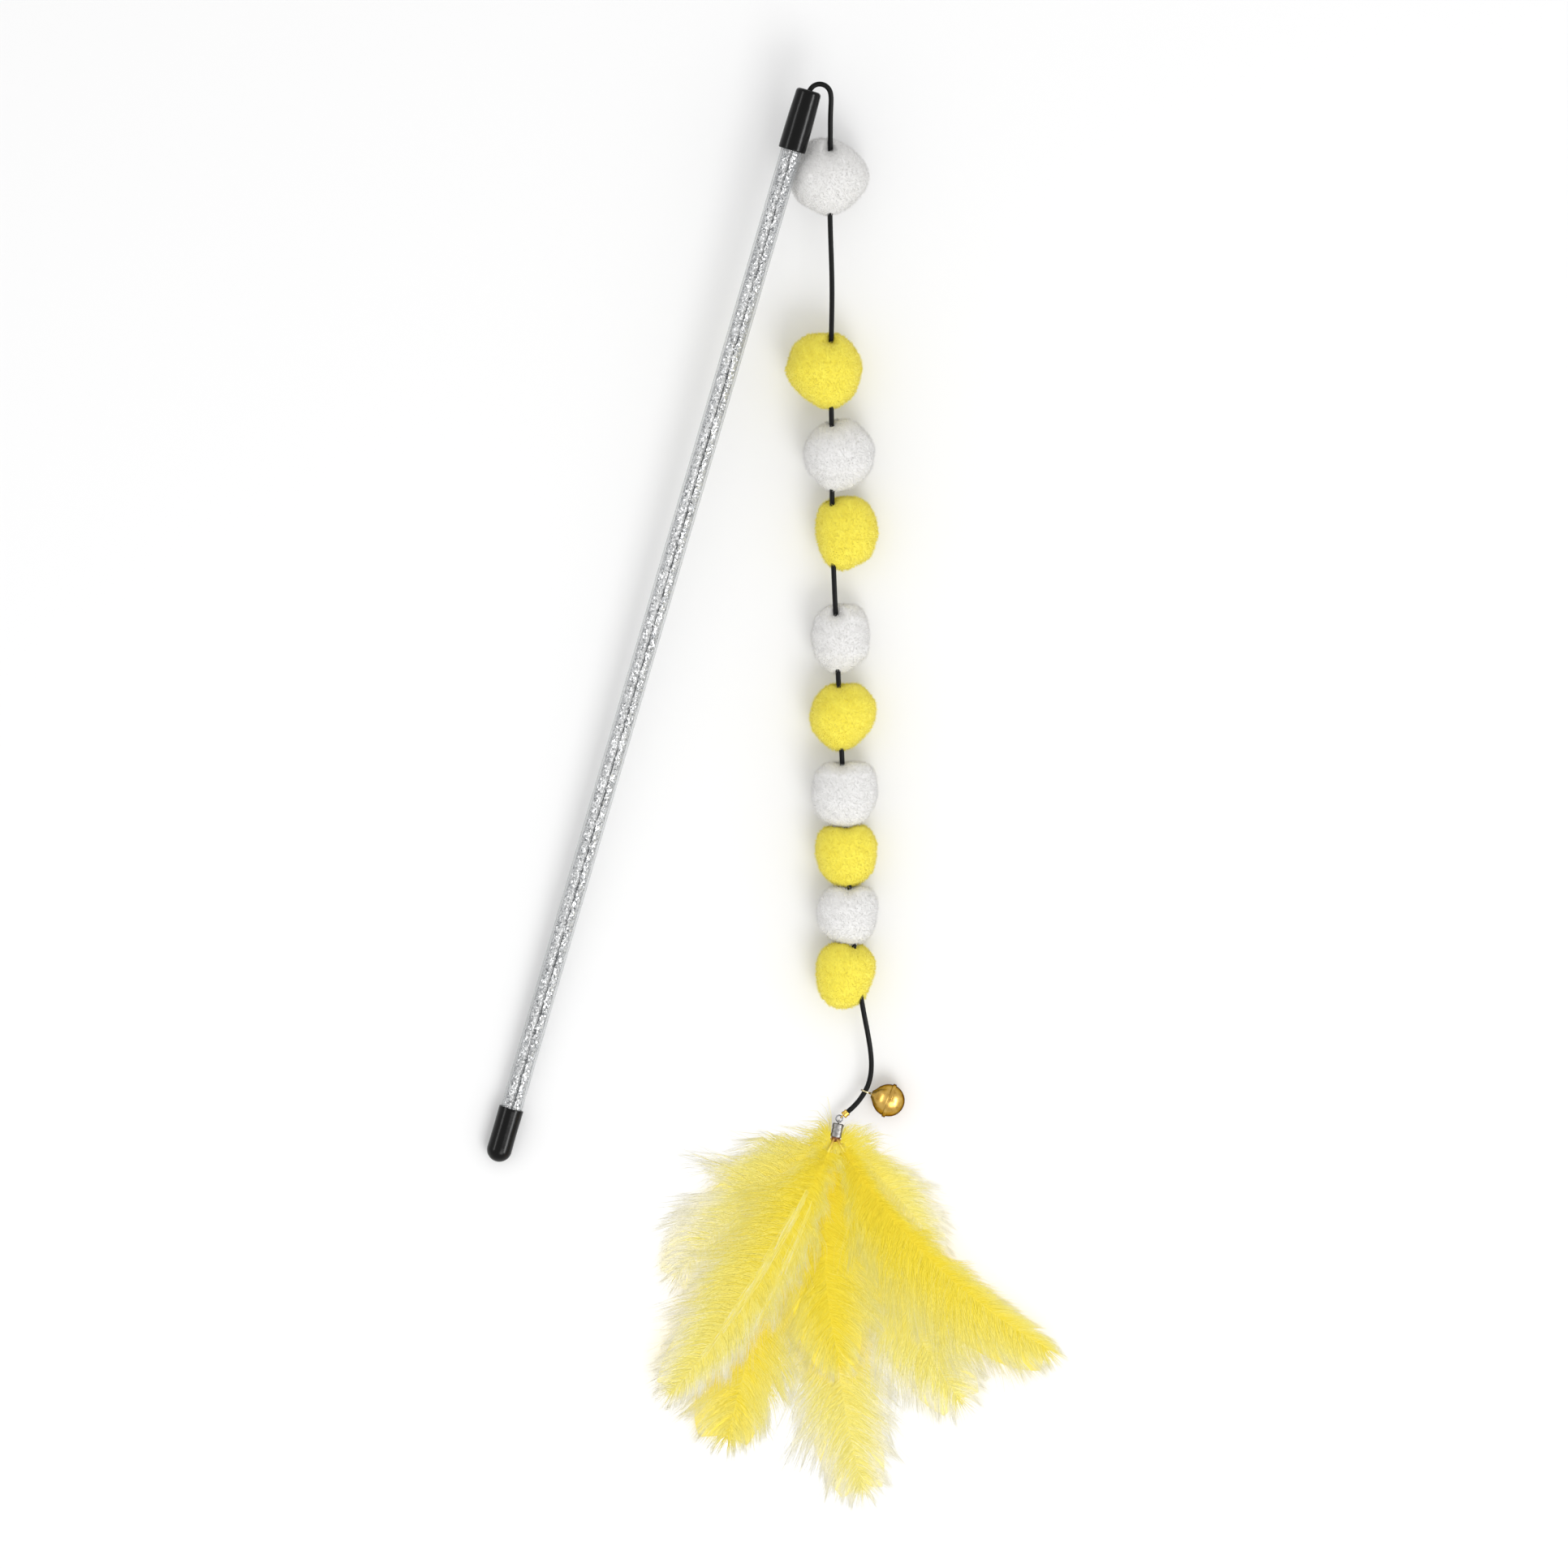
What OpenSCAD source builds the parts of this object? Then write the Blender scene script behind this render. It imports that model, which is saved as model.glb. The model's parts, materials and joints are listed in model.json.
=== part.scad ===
// Cat teaser wand: a clear glitter rod with two black caps, a string with ten pompoms and
// a jingle bell, and a bundle of feathers crimped in a ferrule. It lies on a table, the
// string beside the rod, and the rod's tip rests on the first pompom. Millimetres.
// X runs across, Y from the feathers to the rod's tip, Z up from the table.

/* [Wand] */
// Length of the wand over both caps
wand_l = 393; // [300:1:500]
// Outer diameter of the clear tube
tube_d = 7.6; // [6.6:0.1:8.2]
// Wall of the clear tube
tube_wall = 0.7; // [0.5:0.05:1]
// Thickness of the rolled glitter film in the tube
film_t = 0.15; // [0.1:0.05:0.25]
// Width of the open seam where the film's edges meet
film_seam = 0.6; // [0.3:0.1:1.5]
// Largest diameter of the tip cap, at its open end
tip_cap_d = 9.7; // [9.3:0.1:11]
// Diameter of the tip cap at its closed end
tip_cap_end_d = 9; // [8.8:0.1:9.3]
// Length of the tip cap
tip_cap_l = 22; // [16:0.5:30]
// Thickness of the tip cap's end, which holds the string
tip_cap_end_t = 2; // [1.6:0.1:3]
// Diameter of the butt cap
butt_cap_d = 8.8; // [8.6:0.1:10]
// Length of the butt cap with its dome
butt_cap_l = 19.6; // [14:0.2:26]
// Gap between the tube and what fits over or inside it
fit_gap = 0.05; // [0.02:0.01:0.1]
// Radius of the caps' outer edges
cap_edge_r = 0.6; // [0.3:0.1:0.8]
// Diameter of the string's knot inside the tip
knot_d = 4.6; // [3.5:0.1:5]

/* [Layout] */
// Angle between the wand and the length of the layout, in degrees
wand_turn = 16.35; // [14:0.05:20]
// Distance of the butt end to the left of the middle
butt_x = 99.9; // [80:0.1:120]
// Distance of the butt end below the middle
butt_y = 127.4; // [100:0.1:160]
// Gap left between soft or loose pieces that lie on each other
seat_gap = 0.3; // [0.2:0.05:0.4]

/* [String] */
// Diameter of the string
cord_d = 1.8; // [1.4:0.1:2]
// Distance from the wand's tip down to the ring that carries the feathers
drop_l = 360; // [350:1:370]
// Diameter of the hole for the string in the tip cap
tip_hole_d = 2.6; // [2.4:0.1:3]
// Diameter of the flare at the hole's mouth
tip_flare_d = 6; // [5.6:0.1:6.4]
// Depth of the flare
tip_flare_t = 1.2; // [1:0.1:1.4]

/* [Pompoms] */
// Width of a middling pompom
pompom_w = 25; // [24:0.1:25.2]
// Diameter of the way through a pompom for the string
pompom_bore_d = 3.6; // [3.2:0.1:4]
// Gap between the four pompoms that lie end to end
pompom_gap = 0.4; // [0.3:0.05:0.8]

/* [Bell] */
// Diameter of the bell
bell_d = 11.4; // [10:0.1:12.4]
// Thickness of the bell's sheet brass
bell_wall = 0.4; // [0.3:0.05:0.6]
// Width of the rolled seam round the bell
bell_seam_w = 1.25; // [0.8:0.05:1.8]
// Width of the slit in the bell
bell_slit = 1; // [0.8:0.1:1.4]
// Diameter of the round ends of the slit
bell_slit_end_d = 2.2; // [1.8:0.1:2.6]
// Distance from the bell's middle to the middle of its loop
bell_reach = 8.6; // [8.2:0.1:9.4]
// Diameter of the loop's wire
bell_wire_d = 0.64; // [0.5:0.02:0.8]
// Gap between the loop and the string
bell_loop_gap = 0.35; // [0.3:0.05:0.5]
// Diameter of the loose ball in the bell
pellet_d = 3; // [2.6:0.1:3.6]

/* [Lure] */
// Height of the ring and the ferrule above the table
lure_h = 5; // [4.6:0.1:5.6]
// Mean diameter of the ring
ring_d = 2.3; // [2.2:0.05:2.6]
// Diameter of the ring's wire
ring_wire_d = 0.5; // [0.4:0.02:0.56]
// Mean diameter of the eyes that hang on the ring
eye_d = 1.2; // [1.16:0.02:1.3]
// Diameter of the eyes' wire
eye_wire_d = 0.4; // [0.3:0.02:0.44]
// Diameter of the cup that is crimped on the string's end
cup_d = 2.6; // [2.5:0.05:3]
// Length of the cup
cup_l = 2; // [1.6:0.1:3]
// Diameter of the ferrule that holds the feathers
ferrule_d = 4; // [3.9:0.1:4.6]
// Length of the ferrule
ferrule_l = 4.6; // [4:0.1:6]
// Wall of the ferrule
ferrule_wall = 0.25; // [0.2:0.05:0.3]

/* [Feathers] */
// Length of the longest feather
feather_l = 132; // [110:1:150]
// Width of the widest feather
feather_w = 36; // [30:1:40]
// Diameter of a quill at the ferrule
quill_d = 0.8; // [0.6:0.02:0.86]
// Height from one feather to the next in the pile
feather_step = 1.15; // [1.1:0.01:1.3]
// Thickness of a vane at its edge
vane_edge_t = 0.3; // [0.2:0.05:0.4]

/* [Hidden] */
$fn = 48;

// How far a cut runs past the face that it opens
overrun = 1;
// A full turn in degrees
whole_turn = 360;

// Where the wand lies, seen from above
wand_way = [sin(wand_turn), cos(wand_turn)];
butt_xy = [-butt_x, -butt_y];
tip_xy = butt_xy + wand_l * wand_way;

// The pompoms' places, as shares of drop_l across and down from the wand's tip
pompom_across_shares = [0.021, 0.014, 0.029, 0.037, 0.031, 0.033, 0.034, 0.037, 0.037, 0.035];
pompom_down_shares = [0.086, 0.274, 0.356, 0.433, 0.536, 0.611, 0.685];
// Their widths as shares of pompom_w, and their heights as shares of their widths
pompom_w_shares = [1.12, 1.12, 1.03, 0.92, 0.87, 0.98, 0.95, 0.91, 0.89, 0.88];
pompom_h_shares = [0.95, 0.936, 0.985, 1.143, 1.147, 0.99, 0.95, 0.943, 0.883, 1.045];
// The bores' places off the pompoms' middles, across and up, as shares of their widths
bore_across_shares = [-0.014, 0.082, -0.097, -0.224, -0.071, -0.041, -0.019, 0.007, 0.058, 0.19];
bore_up_shares = [0.129, 0.112, 0.136, 0.17, 0.19, 0.118, 0.139, 0.152, 0.155, 0.152];
// The bores' angles to the layout's length, in degrees
bore_turns = [0, 0, 0, 1, 1.7, 2.9, 3.5, 3.7, 5.1, 9.6];
// Depth of the dimple where the string goes in, as a share of the width
dimple_shares = [0.2, 0.18, 0.14, 0.14, 0.17, 0.12, 0.12, 0.08, 0.08, 0.08];
// Squareness of a pompom's upper and lower half, 2 for an ellipse
upper_power = 2.3;
lower_power = 2.05;
pompom_steps = 9;

function width_of(i) = pompom_w * pompom_w_shares[i];
function height_of(i) = width_of(i) * pompom_h_shares[i];
first_stacked = len(pompom_down_shares) - 1;
function down_of(i) = i <= first_stacked
    ? pompom_down_shares[i] * drop_l
    : down_of(i - 1) + (height_of(i - 1) + height_of(i)) / 2 + pompom_gap;
function middle_of(i) = [
    tip_xy.x + pompom_across_shares[i] * drop_l,
    tip_xy.y - down_of(i),
    width_of(i) / 2
];

// The wand leans on the first pompom: its rise follows from where the two touch
first_off = [middle_of(0).x, middle_of(0).y] - butt_xy;
first_along = first_off * wand_way;
first_aside = abs(first_off.x * wand_way.y - first_off.y * wand_way.x);
touch_r = width_of(0) / 2 + tube_d / 2 + seat_gap;
first_rise = width_of(0) / 2 + sqrt(max(0, touch_r * touch_r - first_aside * first_aside));
wand_lean = asin((first_rise - butt_cap_d / 2) / first_along);
butt_z = butt_cap_d / 2 * (1 - sin(wand_lean));

// The tube runs from the inside of the dome to the tip cap's end
dome_r = butt_cap_d / 2;
tube_start = dome_r + tube_wall;
tube_end = wand_l - tip_cap_end_t;
knot_room = knot_d + tube_wall;
film_end = tube_end - knot_room;
// Depth below the tip's face of the point that the string turns about
swing_depth = 0.5;

// The bell hangs from its loop, whose place is given as shares of drop_l
bell_across_share = 0.055;
bell_down_share = 0.979;
bell_turn = 159;
bell_r = bell_d / 2;
bell_band_r = bell_r + bell_wall + fit_gap;
bell_loop_r = cord_d / 2 + bell_loop_gap + bell_wire_d / 2;
bell_loop_at = [
    tip_xy.x + bell_across_share * drop_l,
    tip_xy.y - bell_down_share * drop_l,
    bell_band_r
];
bell_way = [cos(bell_turn), sin(bell_turn), 0];
bell_at = bell_loop_at - bell_reach * bell_way;

// The ring's place as shares of drop_l, and the ways the string and the feathers leave it
ring_across_share = 0.0292;
ring_down_share = 1.0056;
ring_at = [
    tip_xy.x + ring_across_share * drop_l,
    tip_xy.y - ring_down_share * drop_l,
    lure_h
];
cup_turn = 39;
lure_turn = -101;
eye_reach = (eye_d + eye_wire_d) / 2;
lure_way = [cos(lure_turn), sin(lure_turn), 0];
ferrule_at = ring_at + (ring_d / 2 + eye_reach) * lure_way;
mouth_at = ferrule_at + ferrule_l * lure_way;
across_way = [-lure_way.y, lure_way.x];
quill_ring_r = (ferrule_d / 2 - ferrule_wall - quill_d / 2) * 0.8;
butt_depth = ferrule_l * 0.7;
plug_l = ferrule_l * 0.45;
plug_out = ferrule_l * 0.12;

// Each feather: angle of the quill's place in the ferrule, headings of its quill at the
// root and the tip in degrees from the layout's length, step in the pile, then length,
// left and right half widths as shares, and the share of its length where it is widest
feather_shares = [
    [-90, -6, 16, 0, 1, 0.4, 0.4, 0.7],
    [-141, -26, -12, 1, 0.9, 0.5, 0.3, 0.78],
    [167, -56, -40, 2, 0.6, 0.42, 0.4, 0.5],
    [-39, 15, 36, 3, 0.82, 0.42, 0.34, 0.7],
    [13, 52, 30, 4, 0.43, 0.28, 0.24, 0.5],
    [0, -12, 16, 5, 0.65, 0.46, 0.4, 0.55],
    [64, 30, 62, 6, 0.85, 0.38, 0.14, 0.62],
    [116, -24, -42, 7, 0.85, 0.5, 0.3, 0.5]
];
centre_feather = 5;
feather_stations = 20;
// Length of bare quill at the root, and the distance over which a feather settles in the pile
bare_l = 8;
rise_l = 15;
quill_tip_share = 0.35;

// Points that the string follows, from the tip cap's hole to the cup on its end
route = [
    [10.45, 248.75, 23.65], [11.7, 250.7, 23.7], [13.9, 251.6, 23.8], [16.2, 251.1, 23.7],
    [17.8, 249.5, 23.3], [18.3, 247.2, 23], [18.2, 244.2, 22.1], [18, 240.2, 20.6],
    [18, 235, 18.8], [18, 228, 17.8], [17.9, 219, 17.5], [17.8, 207, 17.4],
    [18.2, 195, 16.8], [18.6, 184, 16.1], [18.6, 173, 16.1], [18.3, 162, 16.8],
    [18.2, 150, 17.2], [18.3, 138, 16.9], [18.6, 127, 16.5], [18.6, 116, 16.2],
    [18.6, 105, 15.7], [18.8, 94, 15.4], [19.1, 82, 15.2], [19.7, 69, 15],
    [20.3, 56, 15], [20.8, 43, 15.1], [21.4, 30, 15.2], [22, 17, 15.2],
    [22.6, 4, 15.2], [23.3, -8, 15], [24, -20, 14.8], [24.8, -33, 14.7],
    [25.9, -47, 14.5], [27.5, -61, 14.4], [29.2, -72, 14.3], [30.8, -80, 13.7],
    [32.1, -87, 11.8], [32.7, -93.5, 8.8], [32.1, -98.6, 6.9], [30.5, -102.7, 6.1],
    [27.1, -107.5, 5.4], [23.2, -110.7, 5]
];
route_steps = 2;
cord_sides = 8;

// Geometry helpers
function unit(v) = v / norm(v);
function eased(t) = t <= 0 ? 0 : t >= 1 ? 1 : t * t * (3 - 2 * t);
function lifted(base, power) = pow(max(0, base), power);

// A point on the even curve that four neighbours pull towards them
function curve_point(a, b, c, d, t) = (
    pow(1 - t, 3) * a + (3 * t * t * t - 6 * t * t + 4) * b
    + (1 + 3 * t + 3 * t * t - 3 * t * t * t) * c + t * t * t * d
) / 6;

// The curve along a list of points, which starts and ends at its ends
function curve(points, steps) =
    let (
        last = len(points) - 1,
        before = 2 * points[0] - points[1],
        after = 2 * points[last] - points[last - 1],
        led = concat([before], points, [after])
    )
    [
        for (i = [0:last - 1], j = [0:steps - 1])
            curve_point(led[i], led[i + 1], led[i + 2], led[i + 3], j / steps),
        points[last]
    ];

// A closed tube of triangles whose cross-sections are given ring by ring
module lofted(rings) {
    n = len(rings[0]);
    m = len(rings);
    sides = [
        for (i = [0:m - 2], k = [0:n - 1]) each [
            [i * n + k, i * n + (k + 1) % n, (i + 1) * n + k],
            [i * n + (k + 1) % n, (i + 1) * n + (k + 1) % n, (i + 1) * n + k]
        ]
    ];
    ends = [
        for (k = [1:n - 2]) each [
            [0, k + 1, k],
            [(m - 1) * n, (m - 1) * n + k, (m - 1) * n + k + 1]
        ]
    ];
    polyhedron(points = [for (r = rings) each r], faces = concat(sides, ends));
}

// Children that stand on +Z are moved to a point and turned to a direction
module towards(at, way) {
    translate(at)
        rotate([0, acos(way.z / norm(way)), atan2(way.y, way.x)])
            children();
}

// Children drawn along +Z from the butt end are laid where the wand lies
module on_wand() {
    towards(
        [butt_xy.x, butt_xy.y, butt_z],
        [wand_way.x * cos(wand_lean), wand_way.y * cos(wand_lean), sin(wand_lean)]
    ) children();
}

// A wire bent to a ring that lies in the XY plane
module wire_ring(mean_d, wire_d) {
    rotate_extrude()
        translate([mean_d / 2, 0])
            circle(d = wire_d);
}

// Points of a quarter round from the end of a cap, centre and radius given
function quarter(centre, r, from) = [
    for (a = [0:15:90]) centre + r * [cos(from + a), sin(from + a)]
];

// The wand
module rod_tube() {
    color("gainsboro", 0.5)
        on_wand()
            translate([0, 0, tube_start])
                difference() {
                    cylinder(d = tube_d, h = tube_end - tube_start);
                    translate([0, 0, -overrun])
                        cylinder(d = tube_d - 2 * tube_wall, h = wand_l);
                }
}

module glitter_film() {
    film_r = tube_d / 2 - tube_wall - fit_gap;
    color("silver")
        on_wand()
            translate([0, 0, tube_start])
                linear_extrude(film_end - tube_start)
                    difference() {
                        circle(r = film_r);
                        circle(r = film_r - film_t);
                        translate([-tube_d, -film_seam / 2])
                            square([tube_d, film_seam]);
                    }
}

module tip_cap() {
    rim_r = tip_cap_d / 2;
    end_r = tip_cap_end_d / 2;
    bore_r = tube_d / 2 + fit_gap;
    throat = tip_cap_end_t - tip_flare_t;
    color("#0f0f0f")
        on_wand()
            translate([0, 0, wand_l - tip_cap_l])
                rotate_extrude()
                    polygon(concat(
                        [[bore_r, 0]],
                        quarter([rim_r - cap_edge_r, cap_edge_r], cap_edge_r, -90),
                        quarter([end_r - cap_edge_r, tip_cap_l - cap_edge_r], cap_edge_r, 0),
                        [
                            [tip_flare_d / 2, tip_cap_l],
                            [tip_flare_d / 3, tip_cap_l - tip_flare_t / 2],
                            [tip_hole_d / 2, tip_cap_l - tip_flare_t],
                            [tip_hole_d / 2, tip_cap_l - tip_flare_t - throat],
                            [bore_r, tip_cap_l - tip_cap_end_t]
                        ]
                    ));
}

module butt_cap() {
    bore_r = tube_d / 2 + fit_gap;
    color("#0f0f0f")
        on_wand()
            rotate_extrude()
                polygon(concat(
                    [[0, 0]],
                    [for (a = [-75:15:0]) [dome_r * cos(a), dome_r + dome_r * sin(a)]],
                    quarter([dome_r - cap_edge_r / 2, butt_cap_l - cap_edge_r / 2], cap_edge_r / 2, 0),
                    [[bore_r, butt_cap_l], [bore_r, tube_start], [0, tube_start]]
                ));
}

module tip_knot() {
    knot_top = tube_end - fit_gap;
    stub_top = wand_l - swing_depth - cord_d / 2 - seat_gap;
    color("#101010")
        on_wand() {
            translate([0, 0, knot_top - knot_d / 2])
                sphere(d = knot_d);
            translate([0, 0, knot_top - knot_d / 2])
                cylinder(d = cord_d, h = stub_top - knot_top + knot_d / 2);
        }
}

// The string
module cord() {
    path = curve(route, route_steps);
    last = len(path) - 1;
    rings = [
        for (i = [0:last])
            let (
                way = unit(path[min(last, i + 1)] - path[max(0, i - 1)]),
                side = unit(cross(way, [0, 0, 1])),
                over = cross(side, way)
            )
            [
                for (k = [0:cord_sides - 1])
                    let (a = k * whole_turn / cord_sides)
                    path[i] + cord_d / 2 * (cos(a) * side + sin(a) * over)
            ]
    ];
    color("#101010")
        lofted(rings);
}

// A pompom drawn along +Z: a round of soft pile, squarer above than below
module pompom_body(w, h) {
    rotate_extrude()
        polygon([
            for (k = [-pompom_steps:pompom_steps])
                let (
                    a = 90 * k / pompom_steps,
                    power = k > 0 ? upper_power : lower_power,
                    rise = lifted(abs(sin(a)), 2 / power)
                )
                [w / 2 * lifted(cos(a), 2 / power), sign(k) * h / 2 * rise]
        ]);
}

module pompom(i, tint) {
    w = width_of(i);
    h = height_of(i);
    bore_x = w * bore_across_shares[i];
    bore_z = w * bore_up_shares[i];
    dimple = w * dimple_shares[i];
    color(tint)
        translate(middle_of(i))
            difference() {
                rotate([-90, 0, 0])
                    pompom_body(w, h);
                translate([bore_x, 0, bore_z])
                    rotate([90, 0, bore_turns[i]])
                        cylinder(d = pompom_bore_d, h = h + 2 * overrun, center = true);
                translate([bore_x, h / 2 + dimple * 0.35, bore_z + dimple * 0.8])
                    sphere(r = dimple * 1.3);
            }
}

module pompom_01() { pompom(0, "#e9e9e8"); }
module pompom_02() { pompom(1, "#f2e85a"); }
module pompom_03() { pompom(2, "#f0ecee"); }
module pompom_04() { pompom(3, "#f2e85a"); }
module pompom_05() { pompom(4, "#e9e9e8"); }
module pompom_06() { pompom(5, "#f2e85a"); }
module pompom_07() { pompom(6, "#e9e9e8"); }
module pompom_08() { pompom(7, "#f2e85a"); }
module pompom_09() { pompom(8, "#e9e9e8"); }
module pompom_10() { pompom(9, "#f2e85a"); }

// The bell, drawn with its loop on +Z
module on_bell() {
    towards(bell_at, bell_way) children();
}

neck_r = bell_wire_d * 2;
neck_top = bell_reach - bell_loop_r - bell_wire_d;
stem_r = bell_wire_d * 0.7;

module bell_upper_shell() {
    below = bell_seam_w * 0.7;
    above = bell_seam_w - below;
    color("#c9a04e")
        on_bell()
            difference() {
                union() {
                    difference() {
                        sphere(r = bell_r);
                        translate([0, 0, -bell_r])
                            cylinder(r = bell_d, h = bell_r);
                    }
                    translate([0, 0, -below])
                        cylinder(r = bell_band_r, h = bell_seam_w);
                    cylinder(r1 = bell_r * 0.72, r2 = neck_r, h = neck_top);
                }
                sphere(r = bell_r - bell_wall);
                translate([0, 0, -below - overrun])
                    cylinder(r = bell_r + fit_gap, h = below + overrun);
                cylinder(r = stem_r + fit_gap, h = bell_reach);
            }
}

module bell_lower_shell() {
    color("#c9a04e")
        on_bell()
            difference() {
                sphere(r = bell_r);
                sphere(r = bell_r - bell_wall);
                translate([0, 0, -fit_gap])
                    cylinder(r = bell_d, h = bell_d);
                translate([-bell_r * 0.6, -bell_slit / 2, -bell_d])
                    cube([bell_r * 1.2, bell_slit, bell_d]);
                for (side = [-1, 1])
                    translate([side * bell_r * 0.6, 0, -bell_d])
                        cylinder(d = bell_slit_end_d, h = bell_d);
            }
}

module bell_loop() {
    head_top = sqrt(pow(bell_r - bell_wall, 2) - pow(neck_r, 2)) - fit_gap;
    color("#b9a878")
        on_bell() {
            translate([0, 0, bell_reach])
                rotate([90, 0, 0])
                    wire_ring(2 * bell_loop_r, bell_wire_d);
            translate([0, 0, head_top - bell_wire_d])
                cylinder(r = stem_r, h = bell_reach - bell_loop_r - head_top + bell_wire_d);
            translate([0, 0, head_top - bell_wire_d])
                cylinder(r = neck_r, h = bell_wire_d);
        }
}

module bell_pellet() {
    free_r = bell_r - bell_wall - pellet_d / 2 - seat_gap / 2;
    color("#9a9a98")
        on_bell()
            translate([sqrt(free_r * free_r - bell_seam_w * bell_seam_w), 0, -bell_seam_w])
                sphere(d = pellet_d);
}

// The end of the string and the ring
module cord_end_cup() {
    cup_way = [cos(cup_turn), sin(cup_turn), 0];
    color("#d8b65a")
        translate(ring_at)
            rotate([0, 0, cup_turn])
                translate([ring_d / 2, 0, 0]) {
                    rotate([90, 0, 0])
                        wire_ring(eye_d, eye_wire_d);
                    rotate([0, 90, 0])
                        difference() {
                            translate([0, 0, eye_reach - eye_wire_d / 2])
                                cylinder(d = cup_d, h = cup_l);
                            translate([0, 0, eye_reach + cup_l * 0.25])
                                cylinder(r = cord_d / 2 + 2 * fit_gap, h = cup_l);
                        }
                }
}

module lure_ring() {
    color("#c8c8c8")
        translate(ring_at)
            wire_ring(ring_d, ring_wire_d);
}

module ferrule() {
    color("#a8a8aa")
        translate(ring_at)
            rotate([0, 0, lure_turn])
                translate([ring_d / 2, 0, 0]) {
                    rotate([90, 0, 0])
                        wire_ring(eye_d, eye_wire_d);
                    rotate([0, 90, 0])
                        difference() {
                            translate([0, 0, eye_reach - eye_wire_d / 2])
                                cylinder(d = ferrule_d, h = ferrule_l + eye_wire_d / 2);
                            translate([0, 0, eye_reach + ferrule_wall * 2])
                                cylinder(d = ferrule_d - 2 * ferrule_wall, h = ferrule_l);
                        }
                }
}

function quill_place(i) = i == centre_feather
    ? [0, 0]
    : quill_ring_r * [cos(feather_shares[i][0]), sin(feather_shares[i][0])];

module glue_plug() {
    plug_r = ferrule_d / 2 - ferrule_wall - fit_gap;
    color("#5a3216")
        translate(mouth_at)
            rotate([90, 0, lure_turn + 90])
                difference() {
                    translate([0, 0, -plug_l])
                        cylinder(r1 = plug_r, r2 = plug_r * 0.96, h = plug_l + plug_out);
                    for (i = [0:len(feather_shares) - 1])
                        translate([quill_place(i).x, quill_place(i).y, -plug_l - overrun])
                            cylinder(d = quill_d + 2 * fit_gap, h = ferrule_l + 2 * overrun);
                }
}

// Feathers: a quill that tapers along a bent line, with a vane on both sides of it
function heading(f, s) = f[1] + (f[2] - f[1]) * s;

// Place of station k of feather i: straight out of the glue, then along its headings
function spine(i, k) =
    let (
        f = feather_shares[i],
        step_l = feather_l * f[4] / feather_stations,
        turn = heading(f, (k - 0.5) / feather_stations)
    )
    k == 0
        ? [mouth_at.x, mouth_at.y] + quill_place(i).x * across_way
            + (plug_out + fit_gap) * [lure_way.x, lure_way.y]
        : spine(i, k - 1) + step_l * [sin(turn), -cos(turn)];

// Half width of a vane at share s of its feather: full at its widest, round at its tip
function vane_share(f, s) =
    let (
        bare_share = bare_l / (feather_l * f[4]),
        grown = max(0, s - bare_share) / (f[7] - bare_share),
        past = max(0, s - f[7]) / (1 - f[7])
    )
    sin(90 * lifted(min(1, grown), 0.75)) * lifted(1 - pow(past, 2.4), 0.6);

function feather_ring(i, k) =
    let (
        f = feather_shares[i],
        s = k / feather_stations,
        at = spine(i, k),
        root_z = lure_h + quill_place(i).y,
        pile_z = quill_d / 2 + vane_edge_t / 2 + feather_step * f[3],
        z = root_z + (pile_z - root_z) * eased(s * feather_l * f[4] / rise_l),
        turn = k == 0 ? lure_turn + 90 : heading(f, s),
        side = [cos(turn), sin(turn)],
        r = quill_d / 2 * (1 - (1 - quill_tip_share) * s),
        edge = min(vane_edge_t / 2, r * 0.4),
        left = max(r, feather_w * f[5] * vane_share(f, s)),
        right = max(r, feather_w * f[6] * vane_share(f, s))
    )
    [
        for (p = [
            [-left, -edge], [-r * 0.4, -r], [r * 0.4, -r], [right, -edge],
            [right, edge], [r * 0.4, r], [-r * 0.4, r], [-left, edge]
        ])
            [at.x + side.x * p[0], at.y + side.y * p[0], z + p[1]]
    ];

module feather(i, tint) {
    rings = [for (k = [0:feather_stations]) feather_ring(i, k)];
    butt = [
        for (p = rings[0])
            p - (butt_depth + plug_out) * lure_way
    ];
    color(tint)
        lofted(concat([butt], rings));
}

module feather_01() { feather(0, "#f0ee90"); }
module feather_02() { feather(1, "#f5e040"); }
module feather_03() { feather(2, "#f5e65a"); }
module feather_04() { feather(3, "#f0ee90"); }
module feather_05() { feather(4, "#f2e87a"); }
module feather_06() { feather(5, "#efd520"); }
module feather_07() { feather(6, "#f2dc30"); }
module feather_08() { feather(7, "#f5e040"); }

rod_tube();
glitter_film();
tip_cap();
butt_cap();
tip_knot();
cord();
pompom_01();
pompom_02();
pompom_03();
pompom_04();
pompom_05();
pompom_06();
pompom_07();
pompom_08();
pompom_09();
pompom_10();
bell_upper_shell();
bell_lower_shell();
bell_loop();
bell_pellet();
cord_end_cup();
lure_ring();
ferrule();
glue_plug();
feather_01();
feather_02();
feather_03();
feather_04();
feather_05();
feather_06();
feather_07();
feather_08();
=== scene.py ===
# Cat teaser wand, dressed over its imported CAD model. Metres, Z up from the table.
import bpy
import functools
import json
import math
import numpy as np
from mathutils import Matrix, Vector, noise


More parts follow.
